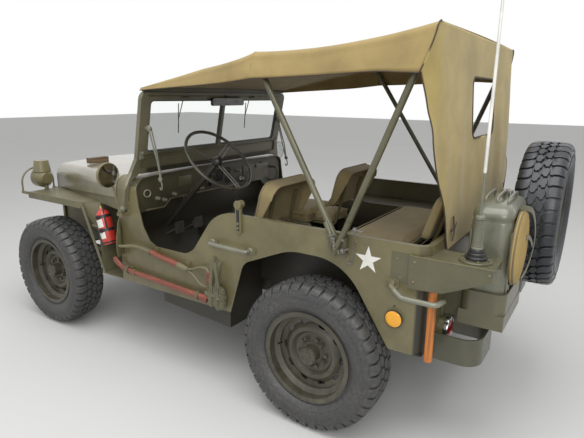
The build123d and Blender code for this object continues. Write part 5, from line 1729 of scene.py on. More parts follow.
@dataclass
class Axe:
    """Axe with a curved red handle, its head in a strapped canvas sheath."""

    middle_x: float = 752.0
    # Distance from the middle across the sheath, and scale of its outline there
    sheath_profile: Pairs = (
        (-13.5, 0.1), (-14.5, 0.6), (-13.5, 0.86), (-9.5, 0.97), (-3, 1.0), (3, 1.0), (9.5, 0.97),
        (13.5, 0.86), (14.5, 0.6), (13.5, 0.1),
    )

    def build_haft(self) -> None:
        """Build the oval handle with its flared knob."""
        rows = smooth_rows(
            [
                # station, height, half height, half thickness
                (652, 566, 8, 7),
                (664, 560, 18, 11),
                (684, 547, 19, 11),
                (706, 534, 16, 11),
                (740, 520, 15.5, 11),
                (817, 512, 15.5, 11),
                (964, 506, 17, 11),
                (1130, 497, 18, 11),
                (1300, 486, 20, 11),
                (1400, 478, 22, 11),
            ],
            5,
        )
        shape = Shape()
        rings = []
        for station, z, tall, thick in rows:
            ring = []
            for turn in full_turn(20):
                rise = tall * math.sin(turn)
                ring.append(place(self.middle_x + thick * math.cos(turn), station + 0.35 * rise, z + rise))
            rings.append(ring)
        shape.loft(rings)
        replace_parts(shape.piece("axe_handle", AXE_WOOD, sharp=60.0), "axe")

    def build_sheath(self) -> None:
        """Build the padded sheath round the head, with its seams."""
        sheath = Shape()
        outline = [
            (1408, 492), (1424, 472), (1462, 452), (1500, 446), (1518, 462), (1521, 520), (1512, 560),
            (1480, 573), (1444, 556), (1416, 520),
        ]
        middle = middle_of(outline)
        fine = smooth_rows([*outline, outline[0]], 4)[:-1]
        rings = []
        for x, scale in self.sheath_profile:
            rings.append([place(self.middle_x + x, s, z) for s, z in scaled(fine, middle, scale)])
        sheath.loft(rings)
        made = sheath.piece("axe_sheath", OLIVE_WEB, sharp=70.0)
        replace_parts(made, "axe")
        seam = Shape()
        for x in (-4.5, 4.5):
            loop = [place(self.middle_x + x, s, z) for s, z in fine]
            seam.tube(loop, 0.0012, 6, closed=True)
        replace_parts(seam.piece("axe_sheath_seams", WEBBING), "axe")

    def build_straps(self) -> None:
        """Build the straps and buckles that hold both tools."""
        straps, buckles = Shape(), Shape()
        x = self.middle_x
        for station, low, high in ((1436, 458, 716), (1478, 450, 700)):
            straps.strap(
                [
                    (725.5, station, high), (x - 8, station, high - 18), (x + 6, station + 1, 640),
                    (x + 13, station + 1, 585), (x + 17.5, station + 1, 540), (x + 17.5, station, 480),
                    (x + 8, station, low - 8), (x - 16, station, low - 10),
                ],
                0.022, across=REAR,
            )
            buckles.buckle(place(x + 19.5, station + 1, 552), LEFT, UP, 0.032, 0.026)
        straps.strap(
            [
                (x + 8, 1392, 520), (x + 16.5, 1412, 522), (x + 19.0, 1450, 523), (x + 19.0, 1500, 522),
                (x + 12, 1524, 520), (x - 12, 1526, 518),
            ],
            0.022, across=UP,
        )
        straps.strap(
            [(x + 14, 1470, 700), (x + 22, 1482, 660), (x + 24, 1494, 610), (x + 22, 1500, 572)], 0.02,
            across=REAR,
        )
        buckles.buckle(place(x + 20.5, 1502, 522), LEFT, REAR, 0.032, 0.026)
        for station in (772, 1330):
            z = 516 if station < 1000 else 484
            straps.strap(
                [
                    (x - 13, station, z - 16), (x - 2, station, z - 23), (x + 12.5, station, z - 12),
                    (x + 13.5, station, z + 8), (x + 2, station, z + 22), (x - 13, station, z + 20),
                ],
                0.018, across=REAR,
            )
        straps.piece("tool_straps", OLIVE_WEB)
        buckles.piece("tool_buckles", CHROME_DARK)
        ties = Shape()
        for shift in (0, 5, 10):
            ties.ring(place(x, 826 + shift, 511.5), REAR, 0.0175, 0.0021, 6, 20, Vector((0.72, 1, 0.98)))
        ties.tube(
            curve([(x + 10, 836, 520), (x + 16, 840, 500), (x + 15, 838, 478), (x + 17, 842, 462)], 4),
            0.0019, 6,
        )
        ties.piece("axe_tie", WEBBING)

    def build(self) -> None:
        """Build the axe and what holds it."""
        self.build_haft()
        self.build_sheath()
        self.build_straps()


@dataclass
class Extinguisher:
    """Red extinguisher with its valve, hose, strap and blank labels."""

    top: Point = (698.0, 492.0, 840.0)
    foot: Point = (698.0, 560.0, 625.0)
    radius: float = 0.0445

    def build(self) -> None:
        """Build the bottle and what is on it."""
        top, foot = place(*self.top), place(*self.foot)
        axis = (top - foot).normalized()
        length = (top - foot).length
        bottle = Shape()
        bottle.lathe(
            [
                (0.001, 0.036), (0.004, 0.0425), (0.01, self.radius), (length - 0.052, self.radius),
                (length - 0.038, self.radius * 0.95), (length - 0.024, self.radius * 0.8),
                (length - 0.014, self.radius * 0.58), (length - 0.009, self.radius * 0.36),
                (length + 0.002, 0.0145), (length + 0.004, 0.0),
            ],
            foot, axis, 40,
        )
        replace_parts(bottle.piece("extinguisher_bottle", RED_PAINT, sharp=40.0), "extinguisher")
        base = Shape()
        base.lathe([(0.0, 0.04), (0.012, 0.0452), (0.02, 0.0452), (0.0205, 0.043)], foot, axis, 40)
        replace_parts(base.piece("extinguisher_foot", BLACK_PLASTIC), "extinguisher")
        labels = Shape()
        across = axis.cross(LEFT).normalized()
        outward = across.cross(axis).normalized()
        for low, high, half_turn in ((0.042, 0.082, 34), (0.112, 0.162, 38)):
            rows = []
            for along in (low, high):
                row = []
                for degrees in range(-half_turn, half_turn + 1, 4):
                    turn = math.radians(degrees)
                    spoke = math.cos(turn) * outward + math.sin(turn) * across
                    row.append(foot + axis * along + (self.radius + 0.0005) * spoke)
                rows.append(row)
            labels.grid(rows)
        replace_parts(labels.piece("extinguisher_labels", WHITE_PAINT), "extinguisher")
        valve = Shape()
        neck = foot + axis * (length - 0.004)
        valve.lathe(
            [(0.0, 0.013), (0.01, 0.013), (0.011, 0.0105), (0.024, 0.0105), (0.026, 0.006), (0.027, 0.0)],
            neck, axis, 20,
        )
        valve.tube([neck + axis * 0.01, neck + axis * 0.014 + Vector((0.004, 0.026, 0))], 0.0045, 10)
        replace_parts(valve.piece("extinguisher_valve", BRASS), "extinguisher")
        handle = Shape()
        turn = UP.rotation_difference(axis).to_matrix()
        handle.box(neck + axis * 0.024 + Vector((0, 0.012, 0)), (0.016, 0.052, 0.005), 0.0015, turn)
        handle.box(neck + axis * 0.014 + Vector((0, 0.018, 0)), (0.014, 0.04, 0.004), 0.0012, turn)
        handle.tube(
            [
                neck + axis * 0.012 + Vector((0.004, 0.024, 0)),
                neck - axis * 0.01 + Vector((0.014, 0.034, 0)),
                neck - axis * 0.05 + Vector((0.022, 0.04, 0)),
                neck - axis * 0.11 + Vector((0.024, 0.04, 0)),
            ],
            [0.005, 0.005, 0.005, 0.0065], 10,
        )
        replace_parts(handle.piece("extinguisher_handle", BLACK_PLASTIC), "extinguisher")
        strap = Shape()
        for along in (0.092, 0.176):
            strap.lathe(
                [
                    (-0.009, self.radius + 0.0003), (-0.009, self.radius + 0.0018),
                    (0.009, self.radius + 0.0018), (0.009, self.radius + 0.0003),
                ],
                foot + axis * along, axis, 40, closed=True,
            )
            strap.buckle(
                foot + axis * along + outward * (self.radius + 0.003) + across * 0.008, outward, axis,
                0.026, 0.02,
            )
        strap.piece("extinguisher_straps", BLACK_PLASTIC)


@dataclass
class Mirrors:
    """Glass, backs and joints of the round mirrors and of the inner mirror."""

    inner_middle: Pair = (-13.0, 1480.0)

    def build(self) -> None:
        """Build the panes, rims, clamps and the mirror under the roof."""
        glass, rims = Shape(), Shape()
        for side in SIDES:
            centre = place(side * 825, 760, 1087)
            glass.lathe([(-0.002, 0.0672), (0.0022, 0.0668), (0.0028, 0.0)], centre, REAR, 48)
            rims.lathe(
                [(-0.0135, 0.069), (0.001, 0.0698), (0.0038, 0.069), (0.0038, 0.0664), (0.0, 0.066)],
                centre, REAR, 48, closed=True,
            )
            rims.lathe(
                [(0.01, 0.069), (0.016, 0.062), (0.022, 0.045), (0.026, 0.02), (0.027, 0.0)], centre, -REAR,
                40,
            )
            rims.tube(
                straight((side * 801, 755, 1030), (side * 812, 748, 1056), (side * 822, 742, 1080)), 0.0055,
                10,
            )
            rims.tube(straight((side * 768, 768, 866), (side * 800, 754, 1030)), 0.006, 12)
            rims.bolt(place(side * 822, 732, 1080), -REAR, 0.007)
            rims.box(place(side * 768, 768, 872), (0.022, 0.024, 0.02), 0.003)
            rims.bolt(place(side * 779, 768, 872), Vector((side, 0, 0)), 0.005)
        glass.piece("mirror_glass", MIRROR)
        rims.piece("mirror_rims", OLIVE)
        self.build_inner()

    def build_inner(self) -> None:
        """Hang the mirror under the roof."""
        inner, pane = Shape(), Shape()
        corners = ((133, 1490, 14), (-160, 1490, 14), (-160, 1470, 14), (133, 1470, 14))
        outline = rounded_outline(corners)
        back_rows = ((912, 0.96), (914, 1.0), (923, 1.0), (927, 0.97))
        for shape, rows in ((inner, back_rows), (pane, ((926.5, 0.955), (927.8, 0.95)))):
            rings = []
            for station, grow in rows:
                rings.append([place(x, station, z) for x, z in scaled(outline, self.inner_middle, grow)])
            shape.loft(rings)
        inner.tube(straight((0, 915, 1519), (0, 918, 1506), (-4, 919, 1494)), 0.0055, 10)
        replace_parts(inner.piece("inner_mirror", BLACK_PLASTIC), "mirrors")
        pane.piece("inner_mirror_glass", DARK_REFLECTION_MIRROR)


@dataclass
class WindshieldTrim:
    """Seals, wipers, locks and adjusting arms of the windshield."""

    lean: float = 11.5
    foot: Pair = (770.0, 897.0)
    glass_half: float = 618.0
    low: float = 1203.0
    high: float = 1494.0
    post_half: float = 11.0
    outer_corner: float = 24.0
    inner_corner: float = 6.0
    wiper_pivot: float = 1512.0

    def spot(self, x: float, z: float, depth: float) -> Vector:
        """Return a point on the leaning pane, a depth to the rear of its middle."""
        lean = math.radians(self.lean)
        station = self.foot[0] + (z - self.foot[1]) * math.tan(lean)
        return place(x, station + depth * math.cos(lean), z - depth * math.sin(lean))

    def pane_outline(self, side: int, inset: float) -> list[Pair]:
        """Return the rounded outline of one pane.

        Args:
            side: -1 for the right pane, 1 for the left pane.
            inset: Distance inside the frame's opening.

        Returns:
            Points round the pane, in x and height.
        """
        x_low, x_high = self.post_half + inset, self.glass_half - inset
        z_low, z_high = self.low + inset, self.high - inset
        wide, tight = self.outer_corner, self.inner_corner
        corners = (
            (x_high - wide, z_high - wide, wide), (x_low + tight, z_high - tight, tight),
            (x_low + tight, z_low + tight, tight), (x_high - wide, z_low + wide, wide),
        )
        return [(side * x, z) for x, z in rounded_outline(corners, 4)]

    def build_seals(self) -> None:
        """Run a dark rubber seal round both panes, and a folded edge round the frame."""
        seals = Shape()
        for side in SIDES:
            for depth in (-6.0, 6.0):
                seals.tube(
                    [self.spot(x, z, depth) for x, z in self.pane_outline(side, 2.0)], 0.0052, 8,
                    closed=True,
                )
        seals.piece("windshield_seals", RUBBER)
        edges = Shape()
        for depth in (-13.2, 13.2):
            for z in (self.low - 26, self.high + 24):
                edges.tube([self.spot(-640, z, depth), self.spot(640, z, depth)], 0.003, 8)
        for side in SIDES:
            for x, z in ((655, 1230), (655, 1350), (655, 1470), (560, 1182), (300, 1182), (60, 1182)):
                edges.dome(self.spot(side * x, z, 13.0), Vector((0, 1, -0.2)), 0.0042, 0.0022)
        edges.piece("windshield_edges", OLIVE)

    def build_wipers(self) -> None:
        """Hang two hand wipers from the top bar."""
        arms, blades = Shape(), Shape()
        for x in (-300, 340):
            for depth in (-16.0, 16.0):
                arms.tube(
                    [
                        self.spot(x, self.wiper_pivot, depth * 0.6),
                        self.spot(x, self.wiper_pivot, depth * 1.25),
                    ],
                    0.0055, 10,
                )
                arms.bolt(
                    self.spot(x, self.wiper_pivot, depth * 1.15), Vector((0, math.copysign(1, depth), 0)),
                    0.005,
                )
            arms.tube(
                [
                    self.spot(x, self.wiper_pivot, -20), self.spot(x + 6, 1480, -19),
                    self.spot(x + 30, 1380, -15),
                ],
                [0.0036, 0.0032, 0.0026], 8,
            )
            blades.tube([self.spot(x + 44, 1470, -13), self.spot(x + 22, 1295, -13)], 0.0032, 6)
            arms.tube([self.spot(x, self.wiper_pivot, 20), self.spot(x + 40, 1509, 21)], [0.005, 0.0036], 8)
        arms.piece("wiper_arms", OLIVE)
        blades.piece("wiper_blades", RUBBER)

    def build_arms(self) -> None:
        """Build the two adjusting arms, with knobs, and the hold-down hooks."""
        arms = Shape()
        for side in SIDES:
            x = side * 634
            arms.tube(curve([(x, 890, 1338), (x, 918, 1240), (x, 945, 1160), (x, 962, 1060)], 4), 0.0046, 8)
            arms.tube(
                curve(
                    [(x - side * 18, 890, 1338), (x - side * 15, 926, 1210), (x - side * 6, 962, 1060)], 4
                ),
                0.004, 8,
            )
            arms.tube(straight((x + side * 16, 872, 1340), (x - side * 24, 888, 1338)), 0.0065, 10)
            arms.lathe(
                [(-0.01, 0.01), (-0.004, 0.017), (0.006, 0.017), (0.01, 0.011), (0.011, 0.0)],
                place(x, 888, 1340), Vector((side, 0.2, 0)), 18,
            )
            arms.lathe(
                [(-0.004, 0.013), (0.0, 0.015), (0.006, 0.013), (0.008, 0.0)], place(x, 962, 1058),
                Vector((side, 0, 0)), 16,
            )
            arms.tube(
                curve([(x, 962, 1058), (x, 972, 1030), (x, 972, 1004), (x, 960, 1000), (x, 956, 1012)], 4),
                0.0042, 8,
            )
            arms.box(place(side * 656, 836, 1190), (0.03, 0.022, 0.052), 0.004)
            arms.bolt(place(side * 656, 850, 1200), REAR, 0.006)
            # Clamp that holds the frame down on the cowl
            arms.box(place(side * 690, 792, 1074), (0.04, 0.052, 0.012), 0.003)
            arms.tube(
                straight((side * 690, 800, 1078), (side * 690, 812, 1112), (side * 690, 806, 1140)), 0.0048,
                8,
            )
            arms.ring(place(side * 690, 812, 1112), LEFT, 0.012, 0.0035, 8, 18)
            # Wing nuts on the pivots
            arms.lathe(
                [(0.0, 0.022), (0.008, 0.022), (0.01, 0.016), (0.02, 0.013), (0.021, 0.0)],
                place(side * 754, 767, 885), Vector((side, 0, 0)), 24,
            )
            arms.box(place(side * 769, 767, 885), (0.006, 0.012, 0.046), 0.0025)
        arms.piece("windshield_arms", SPRING_PAINT)

    def build(self) -> None:
        """Build all the trim."""
        self.build_seals()
        self.build_wipers()
        self.build_arms()


@dataclass
class Dashboard:
    """Blank gauges, switches, plates and the grab bar of the dash."""

    face: float = 843.2
    # X, height, radius
    gauges: tuple[tuple[float, float, float], ...] = (
        (10, 990, 44), (-84, 1012, 26), (-84, 954, 26), (104, 1012, 26), (104, 954, 26)
    )
    switches: Pairs = (
        (564, 925), (511, 908), (430, 930), (272, 925), (190, 930), (-190, 1000), (-226, 940)
    )

    def build(self) -> None:
        """Build the dials, their rims, the switches and the panels."""
        dials, rims, knobs = Shape(), Shape(), Shape()
        for x, z, radius in self.gauges:
            centre, size = place(x, self.face, z), radius / 1000
            dials.lathe([(0.0, size * 0.93), (0.0025, size * 0.93), (0.0028, 0.0)], centre, REAR, 32)
            rims.lathe(
                [
                    (-0.001, size), (0.006, size), (0.008, size * 0.96), (0.006, size * 0.9),
                    (0.001, size * 0.9),
                ],
                centre, REAR, 32, closed=True,
            )
            needle = math.radians(35 + x)
            tip = centre + Vector((math.cos(needle) * size * 0.7, 0.0036, math.sin(needle) * size * 0.7))
            rims.tube([centre + Vector((0, 0.0036, 0)), tip], [0.0016, 0.0006], 6)
        for x, z in self.switches:
            knobs.lathe(
                [
                    (0.0, 0.013), (0.003, 0.013), (0.004, 0.006), (0.014, 0.006), (0.016, 0.01),
                    (0.024, 0.01), (0.026, 0.007), (0.026, 0.0),
                ],
                place(x, self.face, z), REAR, 20,
            )
        dials.piece("gauge_dials", DIAL)
        rims.piece("gauge_rims", COLUMN_PAINT)
        knobs.ring(place(640, self.face + 9, 966), Vector((0.2, 1, 0)), 0.021, 0.0042, 8, 24)
        knobs.piece("dash_knobs", SPRING_PAINT)
        panels = Shape()
        panels.box(place(-400, self.face + 2, 965), (0.3, 0.006, 0.13), 0.003)
        for side in SIDES:
            panels.tube(
                straight((-400 + side * 120, self.face + 6, 1030), (-400 + side * 60, self.face + 6, 1030)),
                0.0055, 8,
            )
        panels.lathe(
            [(0.0, 0.013), (0.008, 0.013), (0.009, 0.009), (0.013, 0.0)], place(-400, self.face + 5, 1012),
            REAR, 20,
        )
        for x, z in ((-548, 1028), (-252, 1028), (-548, 902), (-252, 902)):
            panels.screw(place(x, self.face, z), REAR, 0.005)
        # Grab bar at the passenger's end and a plain plate in the middle
        panels.tube(
            curve(
                [
                    (-590, 846, 985), (-596, 880, 985), (-600, 900, 975), (-600, 905, 930),
                    (-596, 895, 890), (-590, 848, 880),
                ],
                5,
            ),
            0.0085, 10,
        )
        panels.box(place(330, self.face + 1.5, 1000), (0.11, 0.003, 0.06), 0.001)
        # Rolled lower edge
        panels.tube(
            straight(
                (-650, 842, 866), (-506, 842, 862), (-454, 842, 905), (454, 842, 905), (506, 842, 862),
                (650, 842, 866),
            ),
            0.006, 8,
        )
        panels.piece("dash_panels", DEEP_OLIVE)


@dataclass
class SteeringWheel:
    """Steering wheel with a thin grooved rim, double wire spokes and a hub."""

    centre: Point = (350.0, 1151.0, 1155.0)
    tilt: float = 45.5
    radius: float = 0.216

    def build(self) -> None:
        """Build the rim, the spokes and the hub."""
        tilt = math.radians(self.tilt)
        axis = Vector((0, math.sin(tilt), math.cos(tilt)))
        up = axis.cross(LEFT).normalized()
        centre = place(*self.centre)
        rim = Shape()
        rings = []
        for turn in full_turn(120):
            out = math.cos(turn) * LEFT + math.sin(turn) * up
            grip = 0.0096 + 0.0012 * abs(math.sin(turn * 30))
            ring = []
            for around in full_turn(12):
                level = axis * (0.88 * grip * math.sin(around))
                ring.append(centre + out * (self.radius + grip * math.cos(around)) + level)
            rings.append(ring)
        rim.grid(rings, closed_rows=True, closed_columns=True)
        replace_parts(rim.piece("steering_rim", WHEEL_PLASTIC, "steering_wheel"), "steering_wheel")
        spokes = Shape()
        for turn in (90, 210, 330):
            for offset in (-0.011, 0.011):
                angle = math.radians(turn)
                out = math.cos(angle) * LEFT + math.sin(angle) * up
                side = axis.cross(out)
                spokes.tube(
                    [
                        centre - axis * 0.02 + out * 0.02 + side * offset,
                        centre - axis * 0.016 + out * 0.06 + side * offset,
                        centre - axis * 0.004 + out * 0.16 + side * offset,
                        centre + out * (self.radius - 0.003) + side * offset * 0.8,
                    ],
                    0.003, 8,
                )
        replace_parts(spokes.piece("steering_spokes", STEEL, "steering_wheel"), "steering_wheel")
        hub = Shape()
        hub.lathe(
            [
                (-0.036, 0.0), (-0.036, 0.026), (-0.026, 0.031), (-0.012, 0.031), (-0.002, 0.027),
                (0.004, 0.02), (0.009, 0.018), (0.011, 0.0),
            ],
            centre, axis, 32,
        )
        hub.lathe([(0.008, 0.013), (0.013, 0.012), (0.0138, 0.0)], centre, axis, 24)
        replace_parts(hub.piece("steering_hub", BLACK_PLASTIC, "steering_wheel"), "steering_wheel")


@dataclass
class WheelTrim:
    """Nuts, hub caps and valves of the five wheels."""

    nut_circle: float = 0.07
    nuts: int = 5
    first_nut: float = 0.5

    def build(self) -> None:
        """Build one set of fittings for each wheel."""
        for wheel in WHEELS:
            self.build_one("spare_wheel" if wheel.spare else f"wheel_{wheel.name}", wheel)

    def build_one(self, name: str, wheel: WheelPlace) -> None:
        """Build the fittings of one wheel.

        Args:
            name: Start of the pieces' names.
            wheel: Place of the wheel; the spare one gets no hub.
        """
        centre, out = place(*wheel.centre), wheel.out
        second = out.cross(UP)
        nuts, valve = Shape(), Shape()
        for step in full_turn(self.nuts):
            turn = step + self.first_nut
            spot = centre + self.nut_circle * (math.cos(turn) * UP + math.sin(turn) * second)
            nuts.lathe([(0.005, 0.015), (0.009, 0.0135), (0.0095, 0.0)], spot, out, 16)
            nuts.lathe([(0.008, 0.0115), (0.018, 0.0115), (0.021, 0.0095), (0.0215, 0.0)], spot, out, 6)
            nuts.lathe([(0.021, 0.0062), (0.029, 0.0058), (0.0295, 0.0)], spot, out, 12)
        if not wheel.spare:
            for turn in full_turn(6):
                spot = centre + 0.0335 * (math.cos(turn) * UP + math.sin(turn) * second)
                nuts.lathe([(0.06, 0.0058), (0.0675, 0.0056), (0.0685, 0.0)], spot, out, 6)
            nuts.lathe([(0.062, 0.02), (0.066, 0.019), (0.0665, 0.0)], centre, out, 24)
        nuts.piece(f"{name}_nuts", WHEEL_PAINT, wheel.body.value)
        spot = centre + 0.174 * second + out * 0.004
        valve.tube(
            [spot, spot + out * 0.02 + second * 0.004, spot + out * 0.032 + second * 0.006],
            [0.0048, 0.0042, 0.004], 10,
        )
        valve.piece(f"{name}_valve", BLACK_PLASTIC, wheel.body.value)


@dataclass
class BodyFasteners:
    """Rivets, bolts, seams, grab handles, a pin chain and plates on the body."""

    # Station, height on the body's side
    side_rivets: Pairs = ((2416, 894), (2432, 815), (2496, 815), (2496, 894), (2228, 930), (2094, 930))

    def build_rivets(self) -> None:
        """Set the domed rivets and the bolts on both sides and on the rear."""
        shape = Shape()
        for side in SIDES:
            out = Vector((side, 0, 0))
            for station, z in self.side_rivets:
                shape.dome(place(side * 724, station, z), out, 0.0062, 0.0032)
            for station in (1402, 1458, 1642, 1698):
                z = 795 if station < 1500 else 790
                shape.bolt(place(side * 728, station, z), out, 0.0055)
            for station, z in ((2126, 872), (2190, 872), (2126, 934), (2190, 934)):
                shape.bolt(place(side * 733, station, z), out, 0.006)
            for station, z in ((750, 868), (785, 868), (750, 912), (785, 912)):
                shape.bolt(place(side * 727, station, z), out, 0.005)
            for station in (1030, 1110, 1190):
                shape.dome(place(side * 724, station, 610), out, 0.005, 0.0026)
            for station in range(1060, 1500, 110):
                shape.dome(place(side * 724, station, 455), out, 0.0052, 0.0026)
        for station in (2385, 2413):
            for z in (778, 796):
                shape.bolt(place(728, station - 5, z), LEFT, 0.0048)
        for x in (-640, -420, -330, 0, 130, 640):
            for z in (640, 880):
                shape.dome(place(x, 2548, z), REAR, 0.006, 0.003)
        shape.piece("body_rivets", OLIVE)

    def build_handles(self) -> None:
        """Coat the grab handles in a paler paint than the body, which paints in their highlight."""
        shape = Shape()
        for side in SIDES:
            shape.tube(
                curve(
                    [
                        (side * 729, 1430, 795), (side * 748, 1431, 795), (side * 761, 1444, 795),
                        (side * 762, 1550, 792.5), (side * 761, 1656, 790), (side * 748, 1669, 790),
                        (side * 729, 1670, 790),
                    ],
                    5,
                ),
                0.0102, 14,
            )
            for station, z in ((1430, 795), (1670, 790)):
                shape.lathe(
                    [(0.0, 0.0165), (0.003, 0.016), (0.006, 0.0125), (0.0065, 0.0)],
                    place(side * 728, station, z), Vector((side, 0, 0)), 20,
                )
        shape.tube(
            curve(
                [
                    (729, 2405, 787), (750, 2407, 785), (762, 2425, 771), (762, 2446, 755),
                    (762, 2466, 745.5), (762, 2540, 745), (762, 2578, 745), (750, 2598, 745),
                    (716, 2606, 745),
                ],
                4,
            ),
            0.0112, 14,
        )
        # The paler paint is a painted highlight on the handles
        shape.piece("grab_handles", SPRING_PAINT)

    def build_shelf(self) -> None:
        """Bolt the antenna shelf and fold its edges."""
        shape = Shape()
        for station, z in ((2492, 894), (2492, 812), (2772, 896)):
            shape.dome(place(736, station, z), LEFT, 0.006, 0.0032)
        shape.tube(straight((735.2, 2471, 919), (735.2, 2786, 919)), 0.0024, 6)
        shape.tube(straight((735.6, 2548, 786), (735.6, 2548, 917)), 0.0014, 6)
        for x, station in ((600, 2770), (720, 2770), (600, 2570)):
            shape.bolt(place(x, station, 920), UP, 0.0052)
        shape.piece("shelf_bolts", OLIVE)

    def build_bracket(self) -> None:
        """Give the upright bracket its bolts and ring, and painted shade where its slots are."""
        shape, dark = Shape(), Shape()
        for z in (896, 918):
            shape.bolt(place(738.4, 1605, z), LEFT, 0.0055)
        # A thin black sheet paints the shade inside the slots
        dark.slab(
            [place(738.2, 1605 + s, z) for s, z in ((-9, 882), (9, 882), (9, 986), (-9, 986))],
            Vector((0.0006, 0, 0)),
        )
        shape.ring(place(741, 1605, 1012), LEFT, 0.018, 0.0036, 8, 28)
        shape.piece("bracket_bolts", OLIVE)
        dark.piece("bracket_slot_shade", BLACK_PLASTIC)

    def build_chain(self) -> None:
        """Hang the short chain from the left bow pivot."""
        shape = Shape()
        loop = [
            (762, 2240, 988), (744, 2227, 937), (739, 2227, 902), (738, 2222, 857), (738, 2211, 824),
            (738, 2200, 853), (748, 2196, 874), (766, 2196, 892),
        ]
        line = curve(loop, 8)
        spots = [line[0]]
        for point in line:
            if (point - spots[-1]).length >= 0.0098:
                spots.append(point)
        for index, (start, end) in enumerate(zip(spots, spots[1:])):
            run = (end - start).normalized()
            side = run.orthogonal().normalized()
            facing = side if index % 2 else run.cross(side)
            middle = (start + end) / 2
            wide = run.cross(facing).normalized()
            path = []
            for turn in full_turn(10):
                path.append(middle + run * 0.0072 * math.cos(turn) + wide * 0.004 * math.sin(turn))
            shape.tube(path, 0.0011, 5, closed=True)
        shape.bolt(place(768, 2246, 993), LEFT, 0.009)
        shape.tube(straight((768, 2246, 993), (766, 2284, 992)), 0.0042, 8)
        shape.bolt(place(776, 2196, 897), LEFT, 0.0085)
        shape.tube(straight((776, 2196, 897), (774, 2222, 911)), 0.0036, 8)
        shape.bolt(place(776, 2156, 912), LEFT, 0.0062)
        shape.bolt(place(774, 2152, 943), LEFT, 0.0055)
        shape.tube(straight((770, 2126, 950), (770, 2160, 962)), 0.0036, 8)
        shape.bolt(place(776, 2196, 944), LEFT, 0.005)
        shape.piece("pin_chain", STEEL)

    def build_pivots(self) -> None:
        """Bolt the bows to their pivots."""
        shape = Shape()
        for side in SIDES:
            out = Vector((side, 0, 0))
            shape.tube(
                straight((side * 746, 2096, 1002), (side * 762, 2140, 931), (side * 764, 2174, 877)),
                [0.0125, 0.012, 0.0105], 12,
            )
            shape.tube(
                straight((side * 746, 2204, 1012), (side * 768, 2173, 931), (side * 771, 2150, 871)),
                [0.0125, 0.0118, 0.01], 12,
            )
            shape.bolt(place(side * 778, 2161, 900), out, 0.0095)
            shape.bolt(place(side * 756, 2130, 896), out, 0.006)
            shape.bolt(place(side * 756, 2190, 896), out, 0.006)
        shape.piece("bow_bolts", DEEP_OLIVE)
        plate = Shape()
        plate.slab(
            [
                place(724.2, station, z)
                for station, z in ((2392, 800), (2470, 790), (2470, 921), (2392, 921))
            ],
            Vector((0.0016, 0, 0)),
        )
        plate.piece("corner_plate", DEEP_OLIVE)

    def build(self) -> None:
        """Build every fastener."""
        self.build_rivets()
        self.build_handles()
        self.build_shelf()
        self.build_bracket()
        self.build_chain()
        self.build_pivots()


# How the cushions are swollen: remesh size and furthest move in metres, pressure, stiffness, frames
PAD_VOXEL = 0.007
PAD_MOVE = 0.012
PAD_PRESSURE = 4.0
PAD_STIFFNESS = 18.0
PAD_BENDING = 0.6
PAD_FRAMES = 20


def swell(made: bpy.types.Object) -> None:
    """Inflate a pad with a cloth simulation and keep the result.

    Args:
        made: Closed mesh of the pad.
    """
    remesh = made.modifiers.new("remesh", "REMESH")
    remesh.mode = "VOXEL"
    remesh.voxel_size = PAD_VOXEL
    remesh.use_smooth_shade = True
    bake_modifiers(made)
    before = [vertex.co.copy() for vertex in made.data.vertices]
    cloth = made.modifiers.new("cloth", "CLOTH")
    cloth.settings.quality = 4
    cloth.settings.use_pressure = True
    cloth.settings.uniform_pressure_force = PAD_PRESSURE
    cloth.settings.effector_weights.gravity = 0.0
    cloth.settings.tension_stiffness = PAD_STIFFNESS
    cloth.settings.compression_stiffness = PAD_STIFFNESS
    cloth.settings.bending_stiffness = PAD_BENDING
    cloth.point_cache.frame_start, cloth.point_cache.frame_end = 1, PAD_FRAMES
    for number in range(1, PAD_FRAMES + 1):
        bpy.context.scene.frame_set(number)
    bake_modifiers(made)
    bpy.context.scene.frame_set(1)
    for vertex, start in zip(made.data.vertices, before):
        move = vertex.co - start
        if move.length > PAD_MOVE:
            vertex.co = start + move * (PAD_MOVE / move.length)
    for face in made.data.polygons:
        face.use_smooth = True


